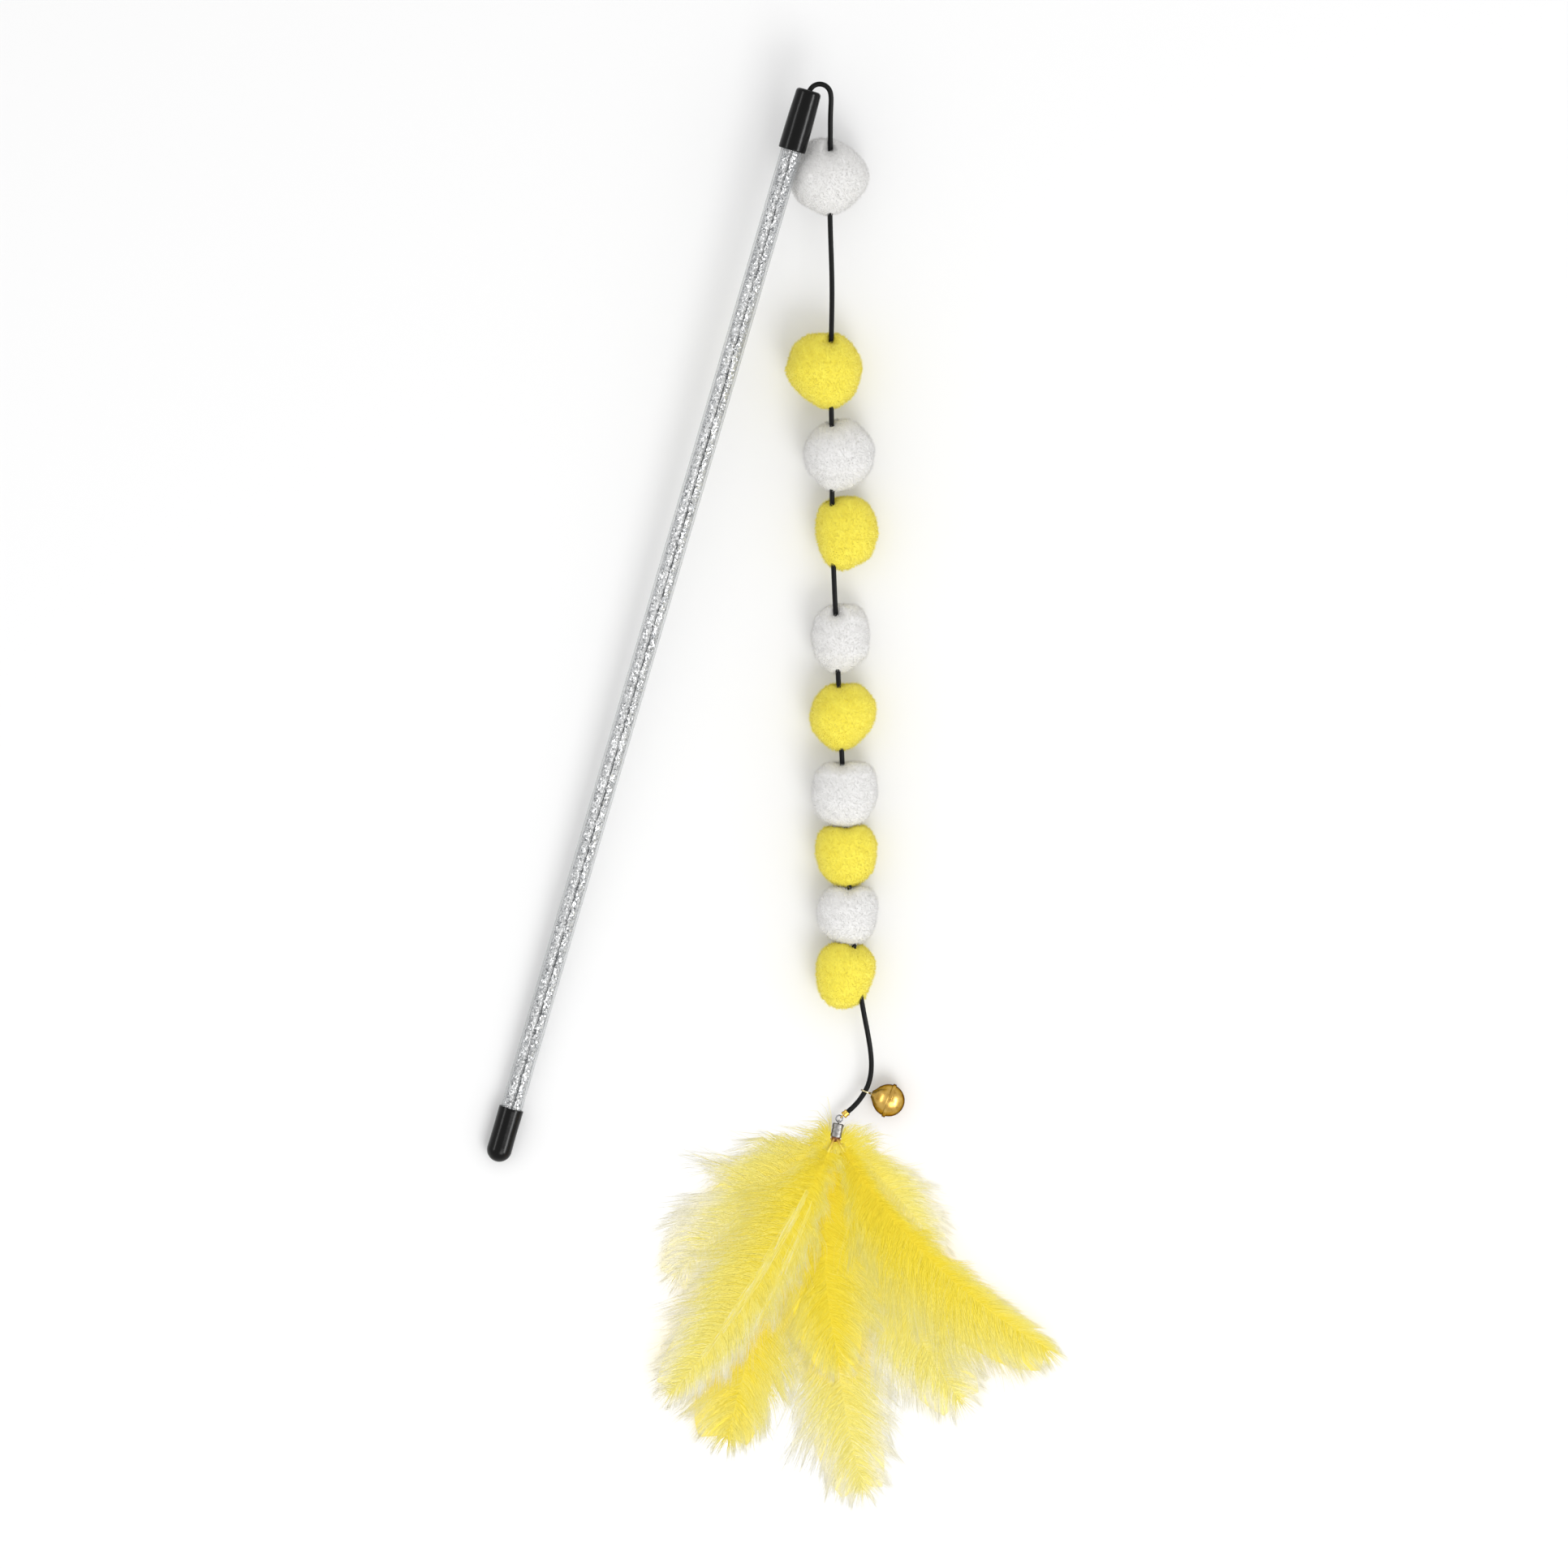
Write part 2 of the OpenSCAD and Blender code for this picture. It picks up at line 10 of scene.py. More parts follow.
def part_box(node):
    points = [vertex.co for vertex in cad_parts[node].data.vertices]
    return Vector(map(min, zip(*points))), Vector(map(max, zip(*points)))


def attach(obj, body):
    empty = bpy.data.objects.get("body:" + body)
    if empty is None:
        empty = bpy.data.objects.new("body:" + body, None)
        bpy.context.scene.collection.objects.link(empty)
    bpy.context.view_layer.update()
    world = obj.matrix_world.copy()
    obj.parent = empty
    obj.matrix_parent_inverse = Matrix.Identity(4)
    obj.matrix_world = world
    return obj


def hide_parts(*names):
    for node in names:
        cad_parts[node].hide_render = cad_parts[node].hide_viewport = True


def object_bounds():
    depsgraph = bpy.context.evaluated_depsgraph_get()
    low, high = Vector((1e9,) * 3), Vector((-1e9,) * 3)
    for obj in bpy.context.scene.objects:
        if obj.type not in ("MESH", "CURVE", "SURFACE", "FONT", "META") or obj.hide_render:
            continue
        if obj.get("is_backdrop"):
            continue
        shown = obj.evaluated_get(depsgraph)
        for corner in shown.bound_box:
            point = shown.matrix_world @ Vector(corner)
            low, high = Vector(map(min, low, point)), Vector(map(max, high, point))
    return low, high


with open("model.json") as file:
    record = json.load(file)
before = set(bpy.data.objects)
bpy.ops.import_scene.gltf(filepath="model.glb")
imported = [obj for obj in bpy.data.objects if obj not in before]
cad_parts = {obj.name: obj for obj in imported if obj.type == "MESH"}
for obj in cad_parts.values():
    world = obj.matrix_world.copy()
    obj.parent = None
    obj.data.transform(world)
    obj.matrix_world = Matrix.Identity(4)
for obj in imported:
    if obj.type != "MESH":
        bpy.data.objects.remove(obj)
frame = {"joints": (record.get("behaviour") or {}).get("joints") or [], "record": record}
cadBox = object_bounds()
mm = 0.001
up = Vector((0, 0, 1))
mounts = {mount["name"]: mount for mount in frame["record"]["mounts"]}
joints = {joint["name"]: joint for joint in frame["joints"]}


# Small helpers

def linear(hexText, alpha=1.0):
    values = [int(hexText[i:i + 2], 16) / 255 for i in (1, 3, 5)]
    return [v / 12.92 if v <= 0.04045 else ((v + 0.055) / 1.055) ** 2.4 for v in values] + [alpha]


def addNode(tree, kind, values=None, links=None, stops=(), **settings):
    # A link comes from a socket, or from a node's first output
    node = tree.nodes.new(kind)
    for name, value in settings.items():
        setattr(node, name, value)
    for _ in stops[2:]:
        node.color_ramp.elements.new(0.5)
    for i, (place, colour) in enumerate(stops):
        node.color_ramp.elements[i].position = place
        node.color_ramp.elements[i].color = colour
    for key, value in (values or {}).items():
        node.inputs[key].default_value = value
    for key, source in (links or {}).items():
        socket = source.outputs[0] if isinstance(source, bpy.types.Node) else source
        tree.links.new(socket, node.inputs[key])
    return node


def newMaterial(name, values=None):
    material = bpy.data.materials.new(name)
    material.use_nodes = True
    tree = material.node_tree
    tree.nodes.clear()
    shader = addNode(tree, "ShaderNodeBsdfPrincipled", values)
    addNode(tree, "ShaderNodeOutputMaterial", links={"Surface": shader})
    return material, tree, shader


def grainBump(tree, shader, vector, perMetre, height, strength, detail=3):
    grain = addNode(tree, "ShaderNodeTexNoise", {"Scale": perMetre, "Detail": detail}, {"Vector": vector})
    bump = addNode(tree, "ShaderNodeBump", {"Strength": strength, "Distance": height},
                   {"Height": grain.outputs["Fac"]})
    tree.links.new(bump.outputs["Normal"], shader.inputs["Normal"])
    return grain


def inScene(name, data):
    piece = bpy.data.objects.new(name, data)
    bpy.context.scene.collection.objects.link(piece)
    return piece


def addLayer(piece, name, kind, values):
    layer = piece.data.attributes.new(name, kind, "POINT")
    field = "vector" if kind == "FLOAT_VECTOR" else "value"
    layer.data.foreach_set(field, np.asarray(values, np.float32).ravel())


def newObject(name, points, faces, material):
    mesh = bpy.data.meshes.new(name)
    mesh.from_pydata([tuple(p) for p in points], [], [tuple(f) for f in faces])
    mesh.validate()
    mesh.shade_smooth()
    mesh.materials.append(material)
    return inScene(name, mesh)


def newCurve(name, radius, resolution, lines, material):
    # A round section along each line; lines holds pairs of spots in metres and whether they close up
    curve = bpy.data.curves.new(name, "CURVE")
    curve.dimensions = "3D"
    curve.bevel_depth = radius
    curve.bevel_resolution = resolution
    curve.use_fill_caps = True
    for spots, closed in lines:
        spline = curve.splines.new("POLY")
        spline.points.add(len(spots) - 1)
        spline.points.foreach_set("co", [v for spot in spots for v in (*spot, 1)])
        spline.use_cyclic_u = closed
        spline.use_smooth = True
    curve.materials.append(material)
    return inScene(name, curve)


def newPiece(name, points, faces, material, body, slot, replaces=()):
    return settle(newObject(name, points, faces, material), body, replaces)


def settle(piece, body, replaces=()):
    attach(piece, body)
    if replaces:
        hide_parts(*replaces)
    return piece


class Place:
    # A spot with a direction: z runs along it, x points up from the table where it can
    def __init__(self, at, way):
        self.at = Vector(at)
        self.z = Vector(way).normalized()
        self.y = Vector((0, 1, 0)) if abs(self.z.z) > 0.999 else self.z.cross(up).normalized()
        self.x = self.y.cross(self.z)

    def point(self, x, y, z):
        return self.at + self.x * x + self.y * y + self.z * z


def lathe(place, profile, sides=96, closed=True, shape=None):
    # profile: (radius, height) pairs in mm along the axis; shape may move a point
    rings, points, faces = [], [], []
    for radius, height in profile:
        if radius < 1e-6:
            rings.append([len(points)])
            points.append(place.point(0, 0, height * mm))
            continue
        rings.append(list(range(len(points), len(points) + sides)))
        for k in range(sides):
            turn = 2 * math.pi * k / sides
            spot = (radius * math.cos(turn), radius * math.sin(turn), height)
            if shape:
                spot = shape(*spot)
            points.append(place.point(*(v * mm for v in spot)))
    pairs = list(zip(rings, rings[1:]))
    if closed and len(rings[0]) > 1 and len(rings[-1]) > 1:
        pairs.append((rings[-1], rings[0]))
    for low, high in pairs:
        for k in range(sides):
            after = (k + 1) % sides
            if len(low) > 1 and len(high) > 1:
                faces.append((low[k], low[after], high[after], high[k]))
            elif len(low) > 1:
                faces.append((low[k], low[after], high[0]))
            elif len(high) > 1:
                faces.append((low[0], high[after], high[k]))
    return points, faces


def arc(radius, first, last, steps):
    return [(radius * math.cos(a), radius * math.sin(a))
            for a in map(math.radians, np.linspace(first, last, steps))]


def rounded(centre, radius, first, last, steps=6):
    return [(centre[0] + x, centre[1] + y) for x, y in arc(radius, first, last, steps)]


def wireRing(place, meanRadius, wireRadius, sides=64, girth=20):
    # A wire bent to a ring round the place's z
    points, faces = [], []
    for i in range(sides):
        a = 2 * math.pi * i / sides
        for k in range(girth):
            b = 2 * math.pi * k / girth
            r = meanRadius + wireRadius * math.cos(b)
            points.append(place.point(r * math.cos(a) * mm, r * math.sin(a) * mm,
                                      wireRadius * math.sin(b) * mm))
    for i in range(sides):
        for k in range(girth):
            here, there = i * girth, (i + 1) % sides * girth
            beside = (k + 1) % girth
            faces.append((here + k, there + k, there + beside, here + beside))
    return points, faces


def joined(*parts):
    points, faces = [], []
    for p, f in parts:
        start = len(points)
        points += p
        faces += [tuple(start + i for i in face) for face in f]
    return points, faces


# Camera and light: the photograph looks straight down on the toy

shot = {
    "photoWidth": 1932, "pixelsPerMm": 3.5, "originX": 960, "originY": 986,  # the origin's place in pixels
    "middleX": 1.71, "middleY": 5.71, "level": 12, "above": 4.0, "sensor": 36,
}
camera = bpy.data.cameras.new("camera")
camera.sensor_width = shot["sensor"]
camera.lens = shot["sensor"] * shot["above"] / (shot["photoWidth"] / shot["pixelsPerMm"] * mm)
camera.clip_end = 20
cameraObject = inScene("camera", camera)
cameraObject.location = (shot["middleX"] * mm, shot["middleY"] * mm, shot["above"] + shot["level"] * mm)
bpy.context.scene.camera = cameraObject
bpy.context.scene.view_settings.view_transform = "Standard"

lighting = {
    "worldStrength": 0.92, "floorColour": "#F0F0F0", "floorHalf": 6, "floorDrop": 0.0002,
    # place in metres, watts, size across and along; the two strips lie along the rod and only line its gloss
    "lamps": {
        "keyLamp": ((0.5, -1.0, 1.5), 12.6, (0.9, 0.9)),
        "sideLamp": ((1.29, -0.38, 1.05), 30, (0.42, 1.4)),
        "stripLamp": ((-1.29, 0.38, 1.05), 10, (0.28, 1.4)),
    },
}
world = bpy.data.worlds.new("studio")
world.use_nodes = True
bpy.context.scene.world = world
sky = world.node_tree
sky.nodes.clear()
rays = addNode(sky, "ShaderNodeLightPath")
seen = addNode(sky, "ShaderNodeMath",
               links={0: rays.outputs["Is Camera Ray"], 1: rays.outputs["Is Glossy Ray"]},
               operation="MAXIMUM")
seen = addNode(sky, "ShaderNodeMath", links={0: seen, 1: rays.outputs["Is Transmission Ray"]},
               operation="MAXIMUM")
soft = addNode(sky, "ShaderNodeBackground",
               {"Color": linear("#FFFFFF"), "Strength": lighting["worldStrength"]})
white = addNode(sky, "ShaderNodeBackground", {"Color": linear("#FFFFFF"), "Strength": 1.0})
blend = addNode(sky, "ShaderNodeMixShader", links={0: seen, 1: soft, 2: white})
addNode(sky, "ShaderNodeOutputWorld", links={"Surface": blend})

grip = mounts["butt_cap_grip"]
wandWay = -Vector(grip["axis"])
for name, (at, power, size) in lighting["lamps"].items():
    lamp = bpy.data.lights.new(name, "AREA")
    lamp.shape = "RECTANGLE"
    lamp.size, lamp.size_y = size
    lamp.energy = power
    lampObject = inScene(name, lamp)
    lampObject.visible_diffuse = name == "keyLamp"
    away = Vector(at).normalized()
    long = (wandWay - away * wandWay.dot(away)).normalized()
    turn = Matrix((long.cross(away), long, away)).transposed()
    lampObject.matrix_world = Matrix.Translation(at) @ turn.to_4x4()

# matt white paper: no gloss, keeps a soft shadow
paper, tree, shader = newMaterial("paperSweep", {
    "Base Color": linear(lighting["floorColour"]), "Roughness": 0.95, "Specular IOR Level": 0.1})
reach = lighting["floorHalf"]
floor = newObject("floor", [(-reach, -reach, 0), (reach, -reach, 0), (reach, reach, 0), (-reach, reach, 0)],
                  [(0, 1, 2, 3)], paper)
floor.location.z = -lighting["floorDrop"]
floor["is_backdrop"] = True
print("stage: camera, lamps and floor")


# The string, one smooth line from the tip cap to the cup on its end

stringSet = {
    "diameter": 1.8,
    "length": 0.375,
    "deep": "#060606",
    "light": "#101010",
    "stepsPerPoint": 8,
    "points": [
        (10.45, 248.75, 23.65), (11.7, 250.7, 23.7), (13.9, 251.6, 23.8), (16.2, 251.1, 23.7),
        (17.8, 249.5, 23.3), (18.3, 247.2, 23), (18.2, 244.2, 22.1), (18, 240.2, 20.6),
        (18, 235, 18.8), (18, 228, 17.8), (17.9, 219, 17.5), (17.8, 207, 17.4),
        (18.2, 195, 16.8), (18.6, 184, 16.1), (18.6, 173, 16.1), (18.3, 162, 16.8),
        (18.2, 150, 17.2), (18.3, 138, 16.9), (18.6, 127, 16.5), (18.6, 116, 16.2),
        (18.6, 105, 15.7), (18.8, 94, 15.4), (19.1, 82, 15.2), (19.7, 69, 15),
        (20.3, 56, 15), (20.8, 43, 15.1), (21.4, 30, 15.2), (22, 17, 15.2),
        (22.6, 4, 15.2), (23.3, -8, 15), (24, -20, 14.8), (24.8, -33, 14.7),
        (25.9, -47, 14.5), (27.5, -61, 14.4), (29.2, -72, 14.3), (30.8, -80, 13.7),
        (32.1, -87, 11.8), (32.7, -93.5, 8.8), (32.1, -98.6, 6.9), (30.5, -102.7, 6.1),
        (27.1, -107.5, 5.4), (23.2, -110.7, 5),
    ],
}


def evenCurve(points, steps):
    # The even cubic curve that the CAD string follows too
    p = np.array(points, float)
    p = np.vstack([2 * p[0] - p[1], p, 2 * p[-1] - p[-2]])
    line = []
    for i in range(len(p) - 3):
        a, b, c, d = p[i:i + 4]
        for t in np.arange(steps) / steps:
            line.append(((1 - t) ** 3 * a + (3 * t ** 3 - 6 * t * t + 4) * b
                         + (1 + 3 * t + 3 * t * t - 3 * t ** 3) * c + t ** 3 * d) / 6)
    line.append(p[-2])
    return np.array(line)


# drawn soft rubber: satin black with a faint ripple
rubber, tree, shader = newMaterial("extrudedRubberString", {"Roughness": 0.5, "Specular IOR Level": 0.12})
spot = addNode(tree, "ShaderNodeTexCoord")
wear = addNode(tree, "ShaderNodeTexNoise", {"Scale": 900, "Detail": 3}, {"Vector": spot.outputs["Object"]})
ramp = addNode(tree, "ShaderNodeValToRGB", links={"Fac": wear.outputs["Fac"]},
               stops=[(0.3, linear(stringSet["deep"])), (0.75, linear(stringSet["light"]))])
tree.links.new(ramp.outputs["Color"], shader.inputs["Base Color"])
grainBump(tree, shader, spot.outputs["Object"], perMetre=2500, height=0.00004, strength=0.5)

stringLine = evenCurve(stringSet["points"], stringSet["stepsPerPoint"]) * mm
stringPiece = newCurve("string", stringSet["diameter"] / 2 * mm, 5, [(stringLine, False)], rubber)
settle(stringPiece, "string", ["cord"])
print("stage: string")


# The wand: tube, glitter film and two dipped caps, all round one axis

wandSet = {
    "length": 393, "tube": 7.6, "wall": 0.7, "tubeStart": 5.1, "tubeEnd": 391, "tubeEdge": 0.12,
    "gripAt": 12,  # the grip mount's place from the butt
    "capRoom": 0.05, "tipCap": 9.7, "tipCapEnd": 9, "tipCapLength": 22, "tipSwell": 0.12,
    "tipMouth": [(2.6, 0.15), (2.1, 0.5), (1.6, 0.9), (1.3, 1.3), (1.3, 1.9), (1.5, 2)],  # radius, depth
    "buttCap": 8.8, "buttCapLength": 19.6, "buttWaist": 0.08,
}
filmSet = {
    "radius": 3.05, "thickness": 0.12, "end": 385.7, "seam": 0.6, "flakeSize": 0.55,
    "rows": 260, "columns": 72, "longRipple": 0.035, "shortRipple": 0.025, "curl": 0.22,
    "shadeReach": 1.7, "highlightReach": 1.5,  # how far in from the two cut edges the painted shade line and the painted highlight line reach
}
wandPlace = Place(Vector(grip["pos_m"]) - wandWay * wandSet["gripAt"] * mm, wandWay)

# clear and polished; painted shade: grey shows more and more towards the edges, where the wall is seen
# edge-on
acrylic, tree, shader = newMaterial("extrudedAcrylicTube", {
    "Base Color": linear("#BFC2C4"), "Roughness": 0.05})
edgeOn = addNode(tree, "ShaderNodeLayerWeight", {"Blend": 0.4})
edgeShadeVeil = addNode(tree, "ShaderNodeValToRGB", links={"Fac": edgeOn.outputs["Facing"]},
               stops=[(0.0, (0.06, 0.06, 0.06, 1)), (0.45, (0.26, 0.26, 0.26, 1)),
                      (0.85, (0.72, 0.72, 0.72, 1))])
tree.links.new(edgeShadeVeil.outputs["Color"], shader.inputs["Alpha"])

# clear film packed with flat foil flakes that tilt every way
film, tree, shader = newMaterial("silverGlitterFilm", {"Metallic": 0.5, "Roughness": 0.22})
spot = addNode(tree, "ShaderNodeTexCoord")
cells = addNode(tree, "ShaderNodeTexVoronoi", {"Scale": 1 / (filmSet["flakeSize"] * mm), "Randomness": 1.0},
                {"Vector": spot.outputs["Object"]})
pick = addNode(tree, "ShaderNodeSeparateColor", links={0: cells.outputs["Color"]})
tone = addNode(tree, "ShaderNodeValToRGB", links={"Fac": pick.outputs["Red"]}, stops=[
    (0.0, linear("#303235")), (0.1, linear("#8A8D91")), (0.22, linear("#E2E4E6")), (0.45, linear("#FFFFFF"))])
# painted highlight along one cut edge of the roll, where light would catch it, and a broken painted shade
# line along the other
seam = addNode(tree, "ShaderNodeAttribute", attribute_name="seam")
streak = addNode(tree, "ShaderNodeTexNoise", {"Scale": 420, "Detail": 3}, {"Vector": spot.outputs["Object"]})
shadeLine = addNode(tree, "ShaderNodeMath", links={0: seam.outputs["Fac"], 1: streak.outputs["Fac"]},
                   operation="MULTIPLY")
shadeLine = addNode(tree, "ShaderNodeValToRGB", links={"Fac": shadeLine},
                   stops=[(0.25, (0, 0, 0, 1)), (0.34, (1, 1, 1, 1))])
highlightLine = addNode(tree, "ShaderNodeMath", {1: -1.6}, {0: seam.outputs["Fac"]}, operation="MULTIPLY")
highlightLine = addNode(tree, "ShaderNodeClamp", links={0: highlightLine})
toned = addNode(tree, "ShaderNodeMix", {7: linear("#FFFFFF")}, {0: highlightLine, 6: tone.outputs["Color"]},
                data_type="RGBA")
# the painted shade line is mixed in as a near-black colour
toned = addNode(tree, "ShaderNodeMix", {7: linear("#26282B")},
                {0: shadeLine.outputs["Color"], 6: toned.outputs[2]}, data_type="RGBA")
tree.links.new(toned.outputs[2], shader.inputs["Base Color"])
tilt = addNode(tree, "ShaderNodeVectorMath", {1: (0.5, 0.5, 0.5)}, {0: cells.outputs["Color"]},
               operation="SUBTRACT")
tilt = addNode(tree, "ShaderNodeVectorMath", {"Scale": 1.1}, {0: tilt}, operation="SCALE")
surface = addNode(tree, "ShaderNodeNewGeometry")
tilt = addNode(tree, "ShaderNodeVectorMath", links={0: surface.outputs["Normal"], 1: tilt}, operation="ADD")
tilt = addNode(tree, "ShaderNodeVectorMath", links={0: tilt}, operation="NORMALIZE")
tree.links.new(tilt.outputs[0], shader.inputs["Normal"])
bare = addNode(tree, "ShaderNodeMath", {1: 0.42}, {0: pick.outputs["Green"]}, operation="GREATER_THAN")
clear = addNode(tree, "ShaderNodeMath", {1: 0.6, 2: 0.2}, {0: bare}, operation="MULTIPLY_ADD")
clear = addNode(tree, "ShaderNodeMath", links={0: clear, 1: shadeLine.outputs["Color"]}, operation="MAXIMUM")
tree.links.new(clear.outputs[0], shader.inputs["Alpha"])

# dip-moulded vinyl: wet black gloss over a slow ripple
dipped, tree, shader = newMaterial("dippedGlossPvc", {
    "Base Color": linear("#030303"), "Roughness": 0.23, "Specular IOR Level": 0.16})
spot = addNode(tree, "ShaderNodeTexCoord")
grainBump(tree, shader, spot.outputs["Object"], perMetre=260, height=0.00025, strength=0.35, detail=2)


def tubeRing():
    outside, edge = wandSet["tube"] / 2, wandSet["tubeEdge"]
    inside, start, end = outside - wandSet["wall"], wandSet["tubeStart"], wandSet["tubeEnd"]
    return [(inside, start + edge), (inside + edge, start), (outside - edge, start), (outside, start + edge),
            (outside, end - edge), (outside - edge, end), (inside + edge, end), (inside, end - edge)]


def rolledFilm():
    # The film is rolled, so its edges stand off the wall a little and the sheet ripples
    radius = filmSet["radius"]
    gapHalf = filmSet["seam"] / 2 / radius
    turns = np.linspace(gapHalf, 2 * math.pi - gapHalf, filmSet["columns"])
    points, faces, seam = [], [], []
    for h in np.linspace(wandSet["tubeStart"] + 0.3, filmSet["end"], filmSet["rows"]):
        for turn in turns:
            back = 2 * math.pi - turn
            ripple = filmSet["longRipple"] * math.sin(h * 0.9 + 3 * turn)
            ripple += filmSet["shortRipple"] * math.sin(h * 2.3 - 5 * turn)
            curl = filmSet["curl"] * math.exp(-min(turn, back) * 2.2)
            for depth in (0, filmSet["thickness"]):
                q = radius - 0.06 + ripple - curl - depth
                points.append(wandPlace.point(q * math.cos(turn) * mm, q * math.sin(turn) * mm, h * mm))
            # above nought towards the edge with the painted shade line, below it towards the edge with the
            # painted highlight
            dark = 1 - min(1, turn * radius / filmSet["shadeReach"])
            bright = -max(0, 1 - back * radius / filmSet["highlightReach"])
            seam += [dark if turn < math.pi else bright] * 2
    across, lastRow, lastColumn = 2 * len(turns), filmSet["rows"] - 1, len(turns) - 1
    for i in range(lastRow):
        for k in range(lastColumn):
            a, d = i * across + 2 * k, (i + 1) * across + 2 * k
            faces += [(a, a + 2, d + 2, d), (a + 3, a + 1, d + 1, d + 3)]
        for k, flip in ((0, False), (lastColumn, True)):
            a, d = i * across + 2 * k, (i + 1) * across + 2 * k
            faces.append((a, a + 1, d + 1, d) if flip else (a, d, d + 1, a + 1))
    for i, flip in ((0, False), (lastRow, True)):
        for k in range(lastColumn):
            a = i * across + 2 * k
            faces.append((a, a + 2, a + 3, a + 1) if flip else (a, a + 1, a + 3, a + 2))
    return points, faces, seam


def tipCapRing(bore):
    # It grips the tube, swells a little on its way and ends in a small mouth for the string
    rim, end = wandSet["tipCap"] / 2, wandSet["tipCapEnd"] / 2
    length, top = wandSet["tipCapLength"], wandSet["length"]
    start = top - length
    side = [(rim - (rim - end) * t + wandSet["tipSwell"] * math.sin(math.pi * t),
             start + 1 + (length - 3.2) * t)
            for t in np.linspace(0.05, 0.98, 14)]
    return (
        [(bore, start + 0.2)] + rounded((bore + 0.35, start + 0.35), 0.35, 200, 270, 4)
        + rounded((rim - 0.45, start + 0.45), 0.45, -90, 0) + side
        + rounded((end - 1.3, top - 1.3), 1.3, 8, 84, 8)
        + [(radius, top - depth) for radius, depth in wandSet["tipMouth"]]
        + [(bore - 0.2, top - 2), (bore, top - 2.2)]
    )


def buttCapRing(bore):
    dome, length, floorAt = wandSet["buttCap"] / 2, wandSet["buttCapLength"], wandSet["tubeStart"]
    side = [(dome - wandSet["buttWaist"] * math.sin(math.pi * t), dome + (length - dome - 0.4) * t)
            for t in np.linspace(0.08, 0.96, 10)]
    return (
        [(0, 0)]
        + [(dome * math.sin(a), dome - dome * math.cos(a)) for a in map(math.radians, range(6, 91, 6))]
        + side + rounded((dome - 0.25, length - 0.25), 0.25, 0, 90, 5)
        + [(bore + 0.05, length), (bore, length - 0.1), (bore, floorAt + 0.1), (bore - 0.1, floorAt),
           (0, floorAt)]
    )


newPiece("rodTube", *lathe(wandPlace, tubeRing(), sides=128), acrylic, "wand", "clear_tube", ["rod_tube"])
points, faces, seam = rolledFilm()
filmPiece = newObject("glitterFilm", points, faces, film)
addLayer(filmPiece, "seam", "FLOAT", seam)
settle(filmPiece, "wand", ["glitter_film"])
capBore = wandSet["tube"] / 2 + wandSet["capRoom"]
for name, node, profile in (("tipCap", "tip_cap", tipCapRing), ("buttCap", "butt_cap", buttCapRing)):
    newPiece(name, *lathe(wandPlace, profile(capBore), sides=128), dipped, "wand", "black_pvc", [node])

# The knot, drawn as a trefoil, sits under the tip cap's end, and its stub fills the hole
knotSet = {
    "wide": 1.05, "loop": 0.5, "deep": 0.75, "thickness": 1.44, "below": 2.4, "stub": 2.95, "steps": 48,
}
knotPlace = Place(wandPlace.point(0, 0, (wandSet["tubeEnd"] - knotSet["below"]) * mm), wandWay)
knotLine = []
for t in np.linspace(0, 2 * math.pi, knotSet["steps"] + 1)[:-1]:
    knotLine.append(knotPlace.point((knotSet["wide"] * math.sin(t) + knotSet["loop"] * math.sin(2 * t)) * mm,
                                    (knotSet["wide"] * math.cos(t) - knotSet["loop"] * math.cos(2 * t)) * mm,
                                    -knotSet["deep"] * math.sin(3 * t) * mm))
stub = [knotPlace.point(0, 0, 0), knotPlace.point(0, 0, knotSet["stub"] * mm)]
knotPiece = newCurve("tipKnot", knotSet["thickness"] / 2 * mm, 4, [(knotLine, True), (stub, False)], rubber)
settle(knotPiece, "wand", ["tip_knot"])
print("stage: wand")


# The pompoms: brushed pile balls, each with the outline that the photograph shows

